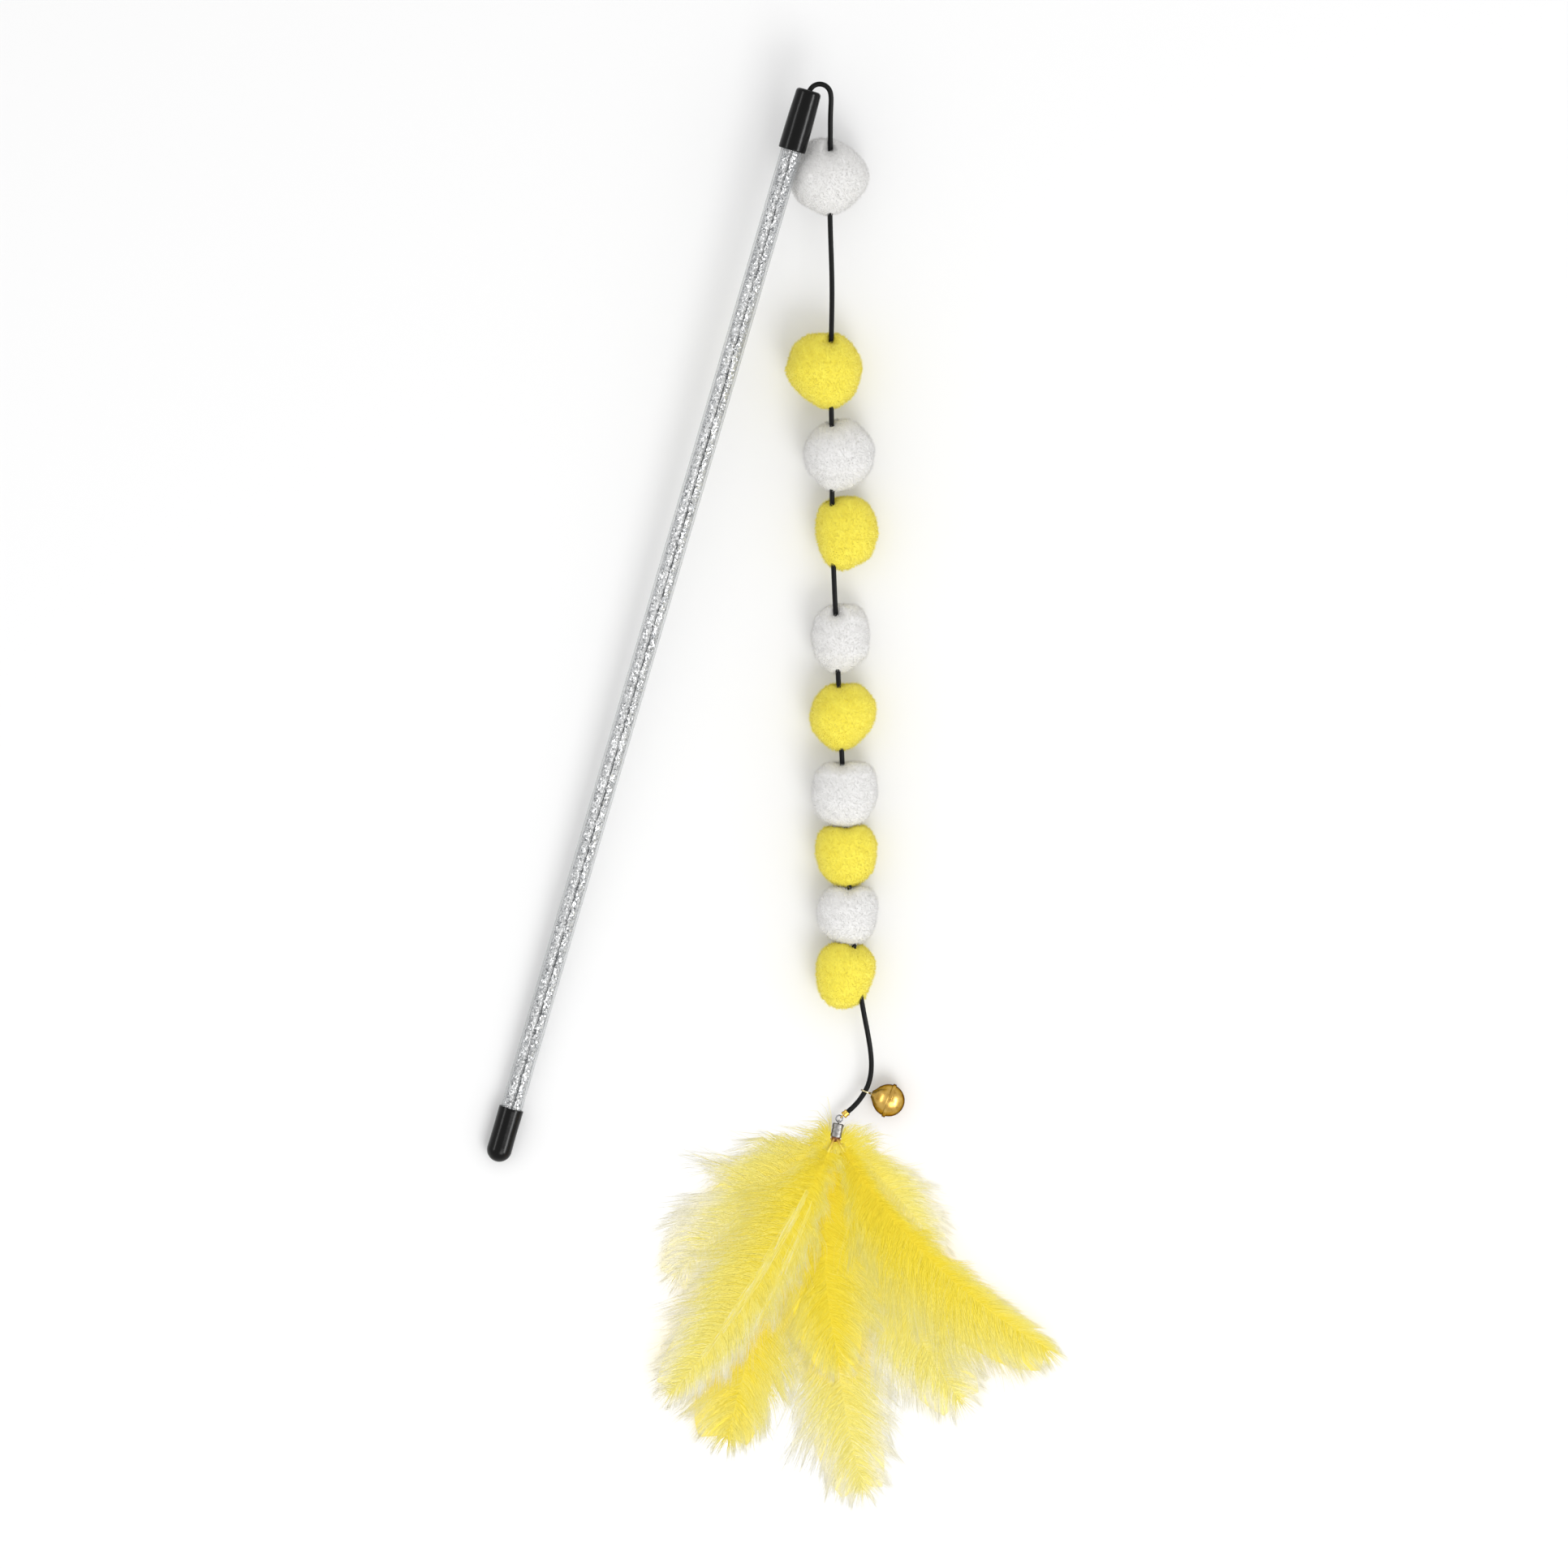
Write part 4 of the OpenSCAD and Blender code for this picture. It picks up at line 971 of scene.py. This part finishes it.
featherSet = {
    "length": 132, "width": 36, "quill": 0.8, "pileStep": 1.15, "edge": 0.3, "bare": 8, "rise": 15,
    "tableHeight": 5, "quillRing": 1.08, "mouthOut": 0.60,
    "barbsPerMm": 46, "barbWidth": 0.32, "barbThickness": 0.1, "vaneShare": 0.8, "vaneThickness": 0.12,
    "lockEvery": 3, "clingShare": 0.45, "wispShare": 0.1, "rootAngle": 62, "tipAngle": 38,
    "quillFlat": 0.85, "inGlue": 2.6, "soaked": 4,
    "deep": "#EFD228", "full": "#F6E03C", "light": "#F9EE88", "pale": "#FFFAE0",
    # room that the barbs leave round the ring, the bell and its loop, and how far they sway for their length
    "ringRoom": 2.2, "bellRoom": 7.0, "loopRoom": 3.0, "swayShare": 0.2,
    # place in the ferrule, headings at root and tip, step in the pile, length, half widths, widest at,
    # then how pale it is at its root and at its tip, and how downy
    "feathers": [
        (-90, -6, 16, 0, 1.0, 0.46, 0.40, 0.70, 0.26, 0.68, 0.40),
        (-141, -26, -12, 1, 0.90, 0.50, 0.36, 0.78, 0.12, 0.42, 0.35),
        (167, -56, -40, 2, 0.60, 0.42, 0.40, 0.50, 0.32, 0.85, 1.00),
        (-39, 15, 36, 3, 0.82, 0.44, 0.42, 0.70, 0.10, 0.65, 0.70),
        (13, 52, 30, 4, 0.43, 0.28, 0.24, 0.50, 0.30, 0.78, 1.00),
        (0, -12, 16, 5, 0.65, 0.46, 0.40, 0.55, 0.00, 0.30, 0.20),
        (64, 30, 62, 6, 0.85, 0.50, 0.15, 0.66, 0.05, 0.42, 0.50),
        (116, -24, -42, 7, 0.85, 0.50, 0.30, 0.50, 0.15, 0.65, 0.60),
    ],
    "centre": 5,  # the feather in the middle of the ferrule, which the others stand round
    # two soft pale lines on one feather: first and last share of the quill, how far aside at its start,
    # how much further at its end, width, barbs
    "paleFeather": 7,
    "paleLines": [(0.18, 0.8, -0.6, 0.8, 3.4, 210), (0.2, 0.64, 2.8, 6.0, 2.0, 100)],
}


def barbTree():
    tree = bpy.data.node_groups.new("barbsOnQuill", "GeometryNodeTree")
    start = groupInputs(tree, [
        ("Geometry", "Geometry"), ("Segments", "Int"), ("Width", "Float"), ("Thickness", "Float"),
        ("Bow", "Float"), ("Wave", "Float"), ("Clump", "Float"), ("Floor", "Float"), ("Finish", "Material")])
    barb = addNode(tree, "GeometryNodeMeshCylinder", {"Vertices": 3, "Radius": 0.5, "Depth": 1.0},
                   {"Side Segments": start.outputs["Segments"]}, fill_type="NONE")
    place = addNode(tree, "GeometryNodeInputPosition")
    marked = addNode(tree, "GeometryNodeStoreNamedAttribute", {"Name": "spot"},
                     {"Geometry": barb.outputs["Mesh"], "Value": place}, data_type="FLOAT_VECTOR",
                     domain="POINT")
    copies = addNode(tree, "GeometryNodeInstanceOnPoints", links={
        "Points": start.outputs["Geometry"], "Instance": marked.outputs["Geometry"]})
    loose = addNode(tree, "GeometryNodeRealizeInstances", links={"Geometry": copies.outputs["Instances"]})

    read = {}
    for kind, names in (("FLOAT_VECTOR", ("spot", "root", "way", "back", "side")),
                        ("FLOAT", ("reach", "downy"))):
        for name in names:
            layer = addNode(tree, "GeometryNodeInputNamedAttribute", {"Name": name}, data_type=kind)
            read[name] = layer.outputs["Attribute"]
    spot = addNode(tree, "ShaderNodeSeparateXYZ", links={0: read["spot"]})
    along = addNode(tree, "ShaderNodeMath", {1: 0.5}, {0: spot.outputs["Z"]}, operation="ADD")
    gone = addNode(tree, "ShaderNodeMath", links={0: along, 1: read["reach"]}, operation="MULTIPLY")
    # each barb leaves the quill wide and curves towards the tip
    bowed = addNode(tree, "ShaderNodeMath", {0: 1.0}, {1: along}, operation="SUBTRACT")
    bowed = addNode(tree, "ShaderNodeMath", links={0: bowed, 1: gone}, operation="MULTIPLY")
    bowed = addNode(tree, "ShaderNodeMath", links={0: bowed, 1: start.outputs["Bow"]}, operation="MULTIPLY")
    bowed = addNode(tree, "ShaderNodeVectorMath", links={0: read["back"], "Scale": bowed}, operation="SCALE")
    line = addNode(tree, "ShaderNodeVectorMath", links={0: read["way"], "Scale": gone}, operation="SCALE")
    line = addNode(tree, "ShaderNodeVectorMath", links={0: line, 1: bowed}, operation="ADD")
    line = addNode(tree, "ShaderNodeVectorMath", links={0: line, 1: read["root"]}, operation="ADD")
    # neighbours bend alike, so the barbs gather in locks
    lock = addNode(tree, "ShaderNodeTexNoise", {"Detail": 2.0},
                   {"Vector": line, "Scale": start.outputs["Clump"]})
    lock = addNode(tree, "ShaderNodeVectorMath", {1: (0.5, 0.5, 0.5)}, {0: lock.outputs["Color"]},
                   operation="SUBTRACT")
    lock = addNode(tree, "ShaderNodeVectorMath", {1: (1, 1, 0.06)}, {0: lock}, operation="MULTIPLY")
    sway = addNode(tree, "ShaderNodeMath", links={0: start.outputs["Wave"], 1: read["downy"]},
                   operation="MULTIPLY")
    sway = addNode(tree, "ShaderNodeMath", links={0: sway, 1: along}, operation="MULTIPLY")
    sway = addNode(tree, "ShaderNodeMath", links={0: sway, 1: gone}, operation="MULTIPLY")
    lock = addNode(tree, "ShaderNodeVectorMath", links={0: lock, "Scale": sway}, operation="SCALE")
    line = addNode(tree, "ShaderNodeVectorMath", links={0: line, 1: lock}, operation="ADD")
    thin = addNode(tree, "ShaderNodeMath", {0: 1.03}, {1: along}, operation="SUBTRACT")
    thin = addNode(tree, "ShaderNodeMath", {1: 0.7}, {0: thin}, operation="POWER")
    flat = addNode(tree, "ShaderNodeMath", links={0: spot.outputs["X"], 1: start.outputs["Width"]},
                   operation="MULTIPLY")
    flat = addNode(tree, "ShaderNodeMath", links={0: flat, 1: thin}, operation="MULTIPLY")
    flat = addNode(tree, "ShaderNodeVectorMath", links={0: read["side"], "Scale": flat}, operation="SCALE")
    deep = addNode(tree, "ShaderNodeMath", links={0: spot.outputs["Y"], 1: start.outputs["Thickness"]},
                   operation="MULTIPLY")
    deep = addNode(tree, "ShaderNodeMath", links={0: deep, 1: thin}, operation="MULTIPLY")
    deep = addNode(tree, "ShaderNodeCombineXYZ", links={2: deep})
    line = addNode(tree, "ShaderNodeVectorMath", links={0: line, 1: flat}, operation="ADD")
    line = addNode(tree, "ShaderNodeVectorMath", links={0: line, 1: deep}, operation="ADD")
    parts = addNode(tree, "ShaderNodeSeparateXYZ", links={0: line})
    lifted = addNode(tree, "ShaderNodeMath", links={0: parts.outputs[2], 1: start.outputs["Floor"]},
                     operation="MAXIMUM")
    kept = addNode(tree, "ShaderNodeCombineXYZ", links={0: parts, 1: parts.outputs[1], 2: lifted})
    shaped = addNode(tree, "GeometryNodeSetPosition", links={"Geometry": loose, "Position": kept})
    finish = addNode(tree, "GeometryNodeSetMaterial",
                     links={"Geometry": shaped, "Material": start.outputs["Finish"]})
    addNode(tree, "NodeGroupOutput", links={0: finish})
    return tree


def softened(tree, shader, colour, through, upShare, openness):
    # Down lets most light through, and its fibres face every way, so it shades like one soft surface
    face = addNode(tree, "ShaderNodeNewGeometry")
    mixed = addNode(tree, "ShaderNodeVectorMath", {"Scale": 1 - upShare}, {0: face.outputs["Normal"]},
                    operation="SCALE")
    slope = addNode(tree, "ShaderNodeSeparateXYZ", links={0: face.outputs["True Normal"]})
    above = addNode(tree, "ShaderNodeMath", links={0: slope.outputs["Z"]}, operation="SIGN")
    above = addNode(tree, "ShaderNodeVectorMath", {0: (0, 0, upShare)}, {"Scale": above}, operation="SCALE")
    mixed = addNode(tree, "ShaderNodeVectorMath", links={0: mixed, 1: above}, operation="ADD")
    mixed = addNode(tree, "ShaderNodeVectorMath", links={0: mixed}, operation="NORMALIZE")
    tree.links.new(mixed.outputs[0], shader.inputs["Normal"])
    glow = addNode(tree, "ShaderNodeBsdfTranslucent", links={"Color": colour})
    # what faces the table glows with the light from above
    share = addNode(tree, "ShaderNodeMapRange",
                    {"From Min": -0.4, "From Max": 0.1, "To Min": 0.7, "To Max": through},
                    {"Value": slope.outputs["Z"]})
    both = addNode(tree, "ShaderNodeMixShader", links={0: share, 1: shader, 2: glow})
    rays = addNode(tree, "ShaderNodeLightPath")
    gap = addNode(tree, "ShaderNodeMath", {1: 0.6}, {0: rays.outputs["Is Diffuse Ray"]}, operation="MULTIPLY")
    gap = addNode(tree, "ShaderNodeMath", links={0: gap, 1: rays.outputs["Is Shadow Ray"]},
                  operation="MAXIMUM")
    gap = addNode(tree, "ShaderNodeMath", {1: openness}, {0: gap}, operation="MULTIPLY")
    clear = addNode(tree, "ShaderNodeBsdfTransparent", {"Color": linear("#FFFCE8")})
    both = addNode(tree, "ShaderNodeMixShader", links={0: gap, 1: both, 2: clear})
    out = next(n for n in tree.nodes if n.type == "OUTPUT_MATERIAL")
    tree.links.new(both.outputs[0], out.inputs["Surface"])


# dyed down: soft and matt, deep yellow by the quill and bleached towards the ends of the barbs
down, tree, shader = newMaterial("dyedFeatherBarbs", {"Roughness": 0.8, "Specular IOR Level": 0.15})
spot = addNode(tree, "ShaderNodeAttribute", attribute_name="spot")
spot = addNode(tree, "ShaderNodeSeparateXYZ", links={0: spot.outputs["Vector"]})
outward = addNode(tree, "ShaderNodeMath", {1: 0.5}, {0: spot.outputs["Z"]}, operation="ADD")
outward = addNode(tree, "ShaderNodeMath", {1: 2.2}, {0: outward}, operation="POWER")
paleness = addNode(tree, "ShaderNodeAttribute", attribute_name="paleness")
mixed = addNode(tree, "ShaderNodeMath", {1: 0.6}, {0: outward, 2: paleness.outputs["Fac"]},
                operation="MULTIPLY_ADD")
dyeStops = [(0.0, linear(featherSet["deep"])), (0.3, linear(featherSet["full"])),
            (0.72, linear(featherSet["light"])), (1.0, linear(featherSet["pale"]))]
ramp = addNode(tree, "ShaderNodeValToRGB", links={"Fac": mixed}, stops=dyeStops)
tree.links.new(ramp.outputs["Color"], shader.inputs["Base Color"])
softened(tree, shader, ramp.outputs["Color"], through=0.12, upShare=0.85, openness=0.85)

# hooked barbs lie so close that they read as a fine-lined sheet
vane, tree, shader = newMaterial("dyedFeatherVane", {"Roughness": 0.7, "Specular IOR Level": 0.2})
lines = addNode(tree, "ShaderNodeAttribute", attribute_name="barbLine")
paleness = addNode(tree, "ShaderNodeAttribute", attribute_name="paleness")
cut = addNode(tree, "ShaderNodeTexNoise", {"Scale": 1.6, "Detail": 5, "Roughness": 0.7},
              {"Vector": lines.outputs["Vector"]})
mixed = addNode(tree, "ShaderNodeMath", {1: 0.5}, {0: cut.outputs["Fac"], 2: paleness.outputs["Fac"]},
                operation="MULTIPLY_ADD")
mixed = addNode(tree, "ShaderNodeMath", {1: 0.22}, {0: mixed}, operation="SUBTRACT")
ramp = addNode(tree, "ShaderNodeValToRGB", links={"Fac": mixed}, stops=dyeStops)
tree.links.new(ramp.outputs["Color"], shader.inputs["Base Color"])
softened(tree, shader, ramp.outputs["Color"], through=0.1, upShare=0.85, openness=0.94)

# horn, dyed like the rest: smooth, faintly glossy, streaked
quillHorn, tree, shader = newMaterial("dyedFeatherQuill", {"Roughness": 0.5, "Specular IOR Level": 0.25})
spot = addNode(tree, "ShaderNodeTexCoord")
streak = addNode(tree, "ShaderNodeTexNoise", {"Scale": 350, "Detail": 2}, {"Vector": spot.outputs["Object"]})
ramp = addNode(tree, "ShaderNodeValToRGB", links={"Fac": streak.outputs["Fac"]},
               stops=[(0.35, linear("#E2C834")), (0.65, linear("#EFDD58"))])
# glue has soaked up the first millimetres
soaked = addNode(tree, "ShaderNodeAttribute", attribute_name="outOfGlue")
soaked = addNode(tree, "ShaderNodeMix", {6: linear("#A8742A")},
                 {0: soaked.outputs["Fac"], 7: ramp.outputs["Color"]}, data_type="RGBA", clamp_factor=True)
tree.links.new(soaked.outputs[2], shader.inputs["Base Color"])

mouth = ringAt / mm + lureWay * (lureSet["ring"] / 2 + eyeReach + lureSet["ferruleLength"])
acrossWay = np.array([-lureWay.y, lureWay.x])
growBarbs = barbTree()
rng = np.random.default_rng(11)


def featherLine(index, stations=240):
    # Points, headings and shares down one feather, in mm
    place, rootTurn, tipTurn, level, share = featherSet["feathers"][index][:5]
    ring = 0 if index == featherSet["centre"] else featherSet["quillRing"]
    quill = ring * np.array([math.cos(math.radians(place)), math.sin(math.radians(place))])
    length = featherSet["length"] * share
    s = np.linspace(0, 1, stations)
    turn = np.radians(rootTurn + (tipTurn - rootTurn) * s)
    steps = np.diff(s, prepend=0)[:, None] * length * np.stack([np.sin(turn), -np.cos(turn)], 1)
    first = np.array([mouth.x, mouth.y]) + quill[0] * acrossWay
    flat = first + featherSet["mouthOut"] * np.array([lureWay.x, lureWay.y]) + np.cumsum(steps, 0)
    rootZ = featherSet["tableHeight"] + quill[1]
    pileZ = featherSet["quill"] / 2 + featherSet["edge"] / 2 + featherSet["pileStep"] * level
    t = np.clip(s * length / featherSet["rise"], 0, 1)
    z = rootZ + (pileZ - rootZ) * t * t * (3 - 2 * t)
    return s, turn, np.column_stack([flat, z]), length


def vaneShare(s, length, widest):
    bareShare = featherSet["bare"] / length
    opened = np.clip(np.maximum(0, s - bareShare) / (widest - bareShare), 0, 1)
    past = np.clip((s - widest) / (1 - widest), 0, 1)
    return np.sin(np.pi / 2 * opened ** 0.75) * np.clip(1 - past ** 2.4, 0, 1) ** 0.6


def seenByLure(joint, spot, share):
    # Where a spot that stays behind lies for the lure, once the joint has turned this share of its way up
    about = Vector(joint["pos_m"])
    turn = Matrix.Rotation(-math.radians(joint["range_deg"][1] * share), 3, Vector(joint["axis"]))
    return about + turn @ (Vector(spot) - about)


ballAt, loopAt = joints["bell_ball_roll"]["pos_m"], joints["bell_flip"]["pos_m"]
keptClear = [(seenByLure(joints["lure_lift"], ringAt, share), featherSet["ringRoom"])
             for share in (0, 0.5, 1)]
for share in (0.5, 1):
    keptClear.append((seenByLure(joints["ring_swing"], ballAt, share), featherSet["bellRoom"]))
    keptClear.append((seenByLure(joints["ring_swing"], loopAt, share), featherSet["loopRoom"]))


def spotsAlong(t, s, turn, line):
    # Spots on the quill at the shares t, with the ways ahead and to the right there
    spots = np.stack([np.interp(t, s, line[:, k]) for k in range(3)], 1)
    facing = np.interp(t, s, turn)
    ahead = np.stack([np.sin(facing), -np.cos(facing), 0 * facing], 1)
    return spots, ahead, np.stack([np.cos(facing), np.sin(facing), 0 * facing], 1)


def paleBarbs(lineAt, barbs):
    # Bleached barbs lie along the quill, and along a parting beside it, as two soft pale lines
    here, way, side, ahead, reach, downy, pale = barbs
    for first, last, offset, spread, wide, fibres in featherSet["paleLines"]:
        fromAt = rng.uniform(first, last - 0.08, fibres)
        toAt = fromAt + rng.uniform(0.06, 0.12, fibres)
        swell = 0.35 + 0.65 * np.sin(np.pi * np.clip((fromAt - first) / (last - first) + 0.1, 0, 1))
        drift = rng.normal(0, wide / 4, fibres) * swell
        low, aheadLow, asideLow = lineAt(fromAt)
        high, _, asideHigh = lineAt(toAt)
        low = low + asideLow * (offset + spread * (fromAt - first) / (last - first) + drift)[:, None]
        high = high + asideHigh * (offset + spread * (toAt - first) / (last - first) + drift)[:, None]
        lift = rng.uniform(0.4, 0.65, fibres)
        low[:, 2] += lift
        high[:, 2] += lift
        lineWay = high - low
        lineReach = np.linalg.norm(lineWay, axis=1)
        lineWay /= lineReach[:, None]
        here, way, side = np.vstack([here, low]), np.vstack([way, lineWay]), np.vstack([side, asideLow])
        ahead, reach = np.vstack([ahead, aheadLow * 0]), np.concatenate([reach, lineReach])
        pale = np.concatenate([pale, rng.uniform(0.38, 0.62, fibres)])
        downy = np.concatenate([downy, np.full(fibres, 0.1)])
    return here, way, side, ahead, reach, downy, pale


def barbRoots(index, lineAt, length):
    # Barbs end on the feather's outline and start on the quill a little way back
    level = featherSet["feathers"][index][3]
    leftShare, rightShare, widest, rootPale, tipPale, downShare = featherSet["feathers"][index][5:]
    count = int(length * featherSet["barbsPerMm"])
    bareShare = featherSet["bare"] * (0.9 if level > 4 else 0.45 - 0.25 * (downShare == 1)) / length
    endAt = bareShare + (1 - bareShare) * rng.random(count) ** 0.9
    hand = rng.choice([-1, 1], count)
    # some of them cling together in pointed locks
    locks = int(length / featherSet["lockEvery"])
    lock = np.minimum((endAt * locks).astype(int), locks - 1)
    rightHand = (hand > 0).astype(int)
    lockAt = (lock + rng.uniform(0.2, 0.8, (2, locks))[rightHand, lock]) / locks
    lockReach = rng.uniform(0.8, 1.2, (2, locks)) + np.where(rng.random((2, locks)) < 0.25, 0.3, 0)
    lockReach = lockReach[rightHand, lock]
    clings = rng.random(count) < featherSet["clingShare"]
    endAt = np.where(clings, np.maximum(lockAt + 0.12 * (endAt - lockAt), bareShare), endAt)
    half = featherSet["width"] * np.where(hand < 0, leftShare, rightShare) * vaneShare(endAt, length, widest)
    downy = downShare * (0.3 + 1.4 * np.exp(-endAt / 0.35))
    half = np.maximum(half * 1.2, (2.5 + 9 * downShare) * np.exp(-endAt / 0.3))
    closing = featherSet["rootAngle"] - featherSet["tipAngle"]
    opening = np.radians(featherSet["rootAngle"] - closing * endAt + rng.normal(0, 4, count))
    back = np.maximum(half / np.tan(opening), rng.uniform(5, 12, count) * np.clip(endAt * 1.5, 0, 1))
    rootAt = np.clip(endAt - back / length, bareShare * 0.8, 0.94)
    ends, ahead, aside = lineAt(endAt)
    wisp = rng.random(count) < featherSet["wispShare"]
    lobes = np.array([noise.noise(Vector((v * length * 0.13, 7.0 * index, 3.0 * h)))
                      for v, h in zip(endAt, hand)])
    fray = np.where(clings, lockReach - 0.15 * rng.random(count), 1.1 - 0.5 * rng.random(count) ** 1.3)
    fray = fray * (1 + 0.3 * lobes) + np.where(wisp, rng.uniform(0.1, 0.35, count), 0)
    forward = rng.normal(0.8, 0.8 + 2.0 * downy, count)
    ends = ends + aside * (hand * half * fray)[:, None] + ahead * forward[:, None]
    ends[:, 2] += 0.12 + rng.normal(0, np.where(wisp, 0.5 + 0.8 * downy, 0.05 + 0.1 * downy), count)
    here, ahead, aside = lineAt(rootAt)
    here = here + aside * (hand * -0.15)[:, None]
    here[:, 2] += rng.uniform(0.2, 0.4, count)
    way = ends - here
    reach = np.linalg.norm(way, axis=1)
    way /= reach[:, None]
    side = np.cross(way, [0, 0, 1])
    side /= np.linalg.norm(side, axis=1)[:, None]
    tilt = rng.normal(0, 0.3, count)
    side = side * np.cos(tilt)[:, None] + np.array([0, 0, 1]) * np.sin(tilt)[:, None]
    pale = rootPale + (tipPale - rootPale) * endAt ** 1.5 + rng.normal(0, 0.07, count)
    pale = pale + np.where(clings, 0.06, 0)
    barbs = (here, way, side, ahead, reach, 0.25 + downy, pale)
    if index == featherSet["paleFeather"]:
        barbs = paleBarbs(lineAt, barbs)
    # no barb brushes the ring or the bell where the joints bring them near
    here, way, reach = barbs[0], barbs[1], barbs[4]
    clear = np.ones(len(here), bool)
    for spot, room in keptClear:
        toSpot = np.array(spot) / mm - here
        alongBarb = np.clip((toSpot * way).sum(1), 0, reach)
        away = np.linalg.norm(toSpot - way * alongBarb[:, None], axis=1)
        clear &= away > room + featherSet["swayShare"] * alongBarb
    return [values[clear] for values in barbs]


def barbPiece(index, lineAt, length):
    here, way, side, ahead, reach, downy, pale = barbRoots(index, lineAt, length)
    name = "feather%02d" % (index + 1)
    roots = bpy.data.meshes.new(name)
    roots.from_pydata((here * mm).tolist(), [], [])
    piece = inScene(name, roots)
    for layer, values in (("root", here * mm), ("way", way), ("back", -ahead), ("side", side)):
        addLayer(piece, layer, "FLOAT_VECTOR", values)
    for layer, values in (("reach", reach * mm), ("downy", downy), ("paleness", pale)):
        addLayer(piece, layer, "FLOAT", values)
    grown(piece, growBarbs, {
        "Segments": 4, "Width": featherSet["barbWidth"] * mm, "Thickness": featherSet["barbThickness"] * mm,
        "Bow": 0.5, "Wave": 0.9, "Clump": 120.0, "Floor": 0.25 * mm, "Finish": down})
    for layer in ("root", "way", "back", "side", "reach", "downy"):
        if layer in piece.data.attributes:
            piece.data.attributes.remove(piece.data.attributes[layer])
    # down scatters light all through, so its fibres shade nothing; the vane under them does
    piece.visible_shadow = False
    piece.visible_diffuse = False
    return piece


def vanePiece(index, lineAt, length):
    # The close part of the vane, a thin bowed sheet inside the barbs
    leftShare, rightShare, widest, rootPale, tipPale, _ = featherSet["feathers"][index][5:]
    t = np.linspace(featherSet["bare"] * 1.15 / length, 0.94, 90)
    spots, ahead, aside = lineAt(t)
    shares = vaneShare(t, length, widest) * featherSet["width"] * featherSet["vaneShare"]
    across = np.linspace(-1, 1, 23)
    points, faces, marks, pales = [], [], [], []
    for i in range(len(t)):
        for u in across:
            reach = u * shares[i] * (leftShare if u < 0 else rightShare)
            slant = abs(reach) * 0.55
            spot = spots[i] + aside[i] * reach + ahead[i] * slant * 0.5
            notch = 0.25 * noise.noise(Vector((t[i] * length * 0.8, 9.0 * index + np.sign(u), 0)))
            spot[2] = max(0.3, spot[2] - 0.18 + 0.1 * math.cos(u * 1.5) + 0.1 * notch)
            points.append(spot * mm)
            marks.append((t[i] * length - slant * 0.9, abs(reach) * 0.06, 3.0 * index + (u > 0)))
            pales.append(rootPale + (tipPale - rootPale) * t[i] ** 1.5 + 0.14 * abs(u) ** 2)
    for i in range(len(t) - 1):
        for k in range(len(across) - 1):
            a = i * len(across) + k
            faces.append((a, a + 1, a + 1 + len(across), a + len(across)))
    piece = newObject("vane%02d" % (index + 1), points, faces, vane)
    addLayer(piece, "barbLine", "FLOAT_VECTOR", marks)
    addLayer(piece, "paleness", "FLOAT", pales)
    thicken = piece.modifiers.new("thickness", "SOLIDIFY")
    thicken.thickness = featherSet["vaneThickness"] * mm
    thicken.offset = 0
    return piece


def quillPiece(index, s, turn, line, length):
    # The quill, from inside the glue to near the feather's tip
    points, faces, soak = [], [], []
    sides, steps = 10, 64
    butt = line[0] - np.array([lureWay.x, lureWay.y, 0]) * (featherSet["mouthOut"] + featherSet["inGlue"])
    stops = [(butt, math.radians(lureSet["turn"] + 90), 0)]
    stops += [(line[k], turn[k], s[k]) for k in np.linspace(0, len(s) - 10, steps).astype(int)]
    for order, (at, angle, passed) in enumerate(stops):
        radius = featherSet["quill"] / 2 * (1 - 0.8 * passed)
        sideways = np.array([math.cos(angle), math.sin(angle), 0])
        for a in 2 * math.pi * np.arange(sides) / sides:
            out = math.cos(a) * sideways + math.sin(a) * np.array([0, 0, featherSet["quillFlat"]])
            points.append((at + radius * out) * mm)
            soak.append(order and passed * length / featherSet["soaked"])
    for i in range(len(stops) - 1):
        for k in range(sides):
            a, b = i * sides + k, i * sides + (k + 1) % sides
            faces.append((a, a + sides, b + sides, b))
    faces += [tuple(range(sides)), tuple(reversed(range(len(points) - sides, len(points))))]
    piece = newObject("quill%02d" % (index + 1), points, faces, quillHorn)
    addLayer(piece, "outOfGlue", "FLOAT", soak)
    return piece


for index in range(len(featherSet["feathers"])):
    s, turn, line, length = featherLine(index)
    lineAt = functools.partial(spotsAlong, s=s, turn=turn, line=line)
    node = "feather_%02d" % (index + 1)
    settle(barbPiece(index, lineAt, length), "lure", [node])
    settle(vanePiece(index, lineAt, length), "lure")
    settle(quillPiece(index, s, turn, line, length), "lure")
print("stage: feathers")


size = {"cad": [list(corner) for corner in cadBox], "visual": [list(corner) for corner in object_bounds()]}
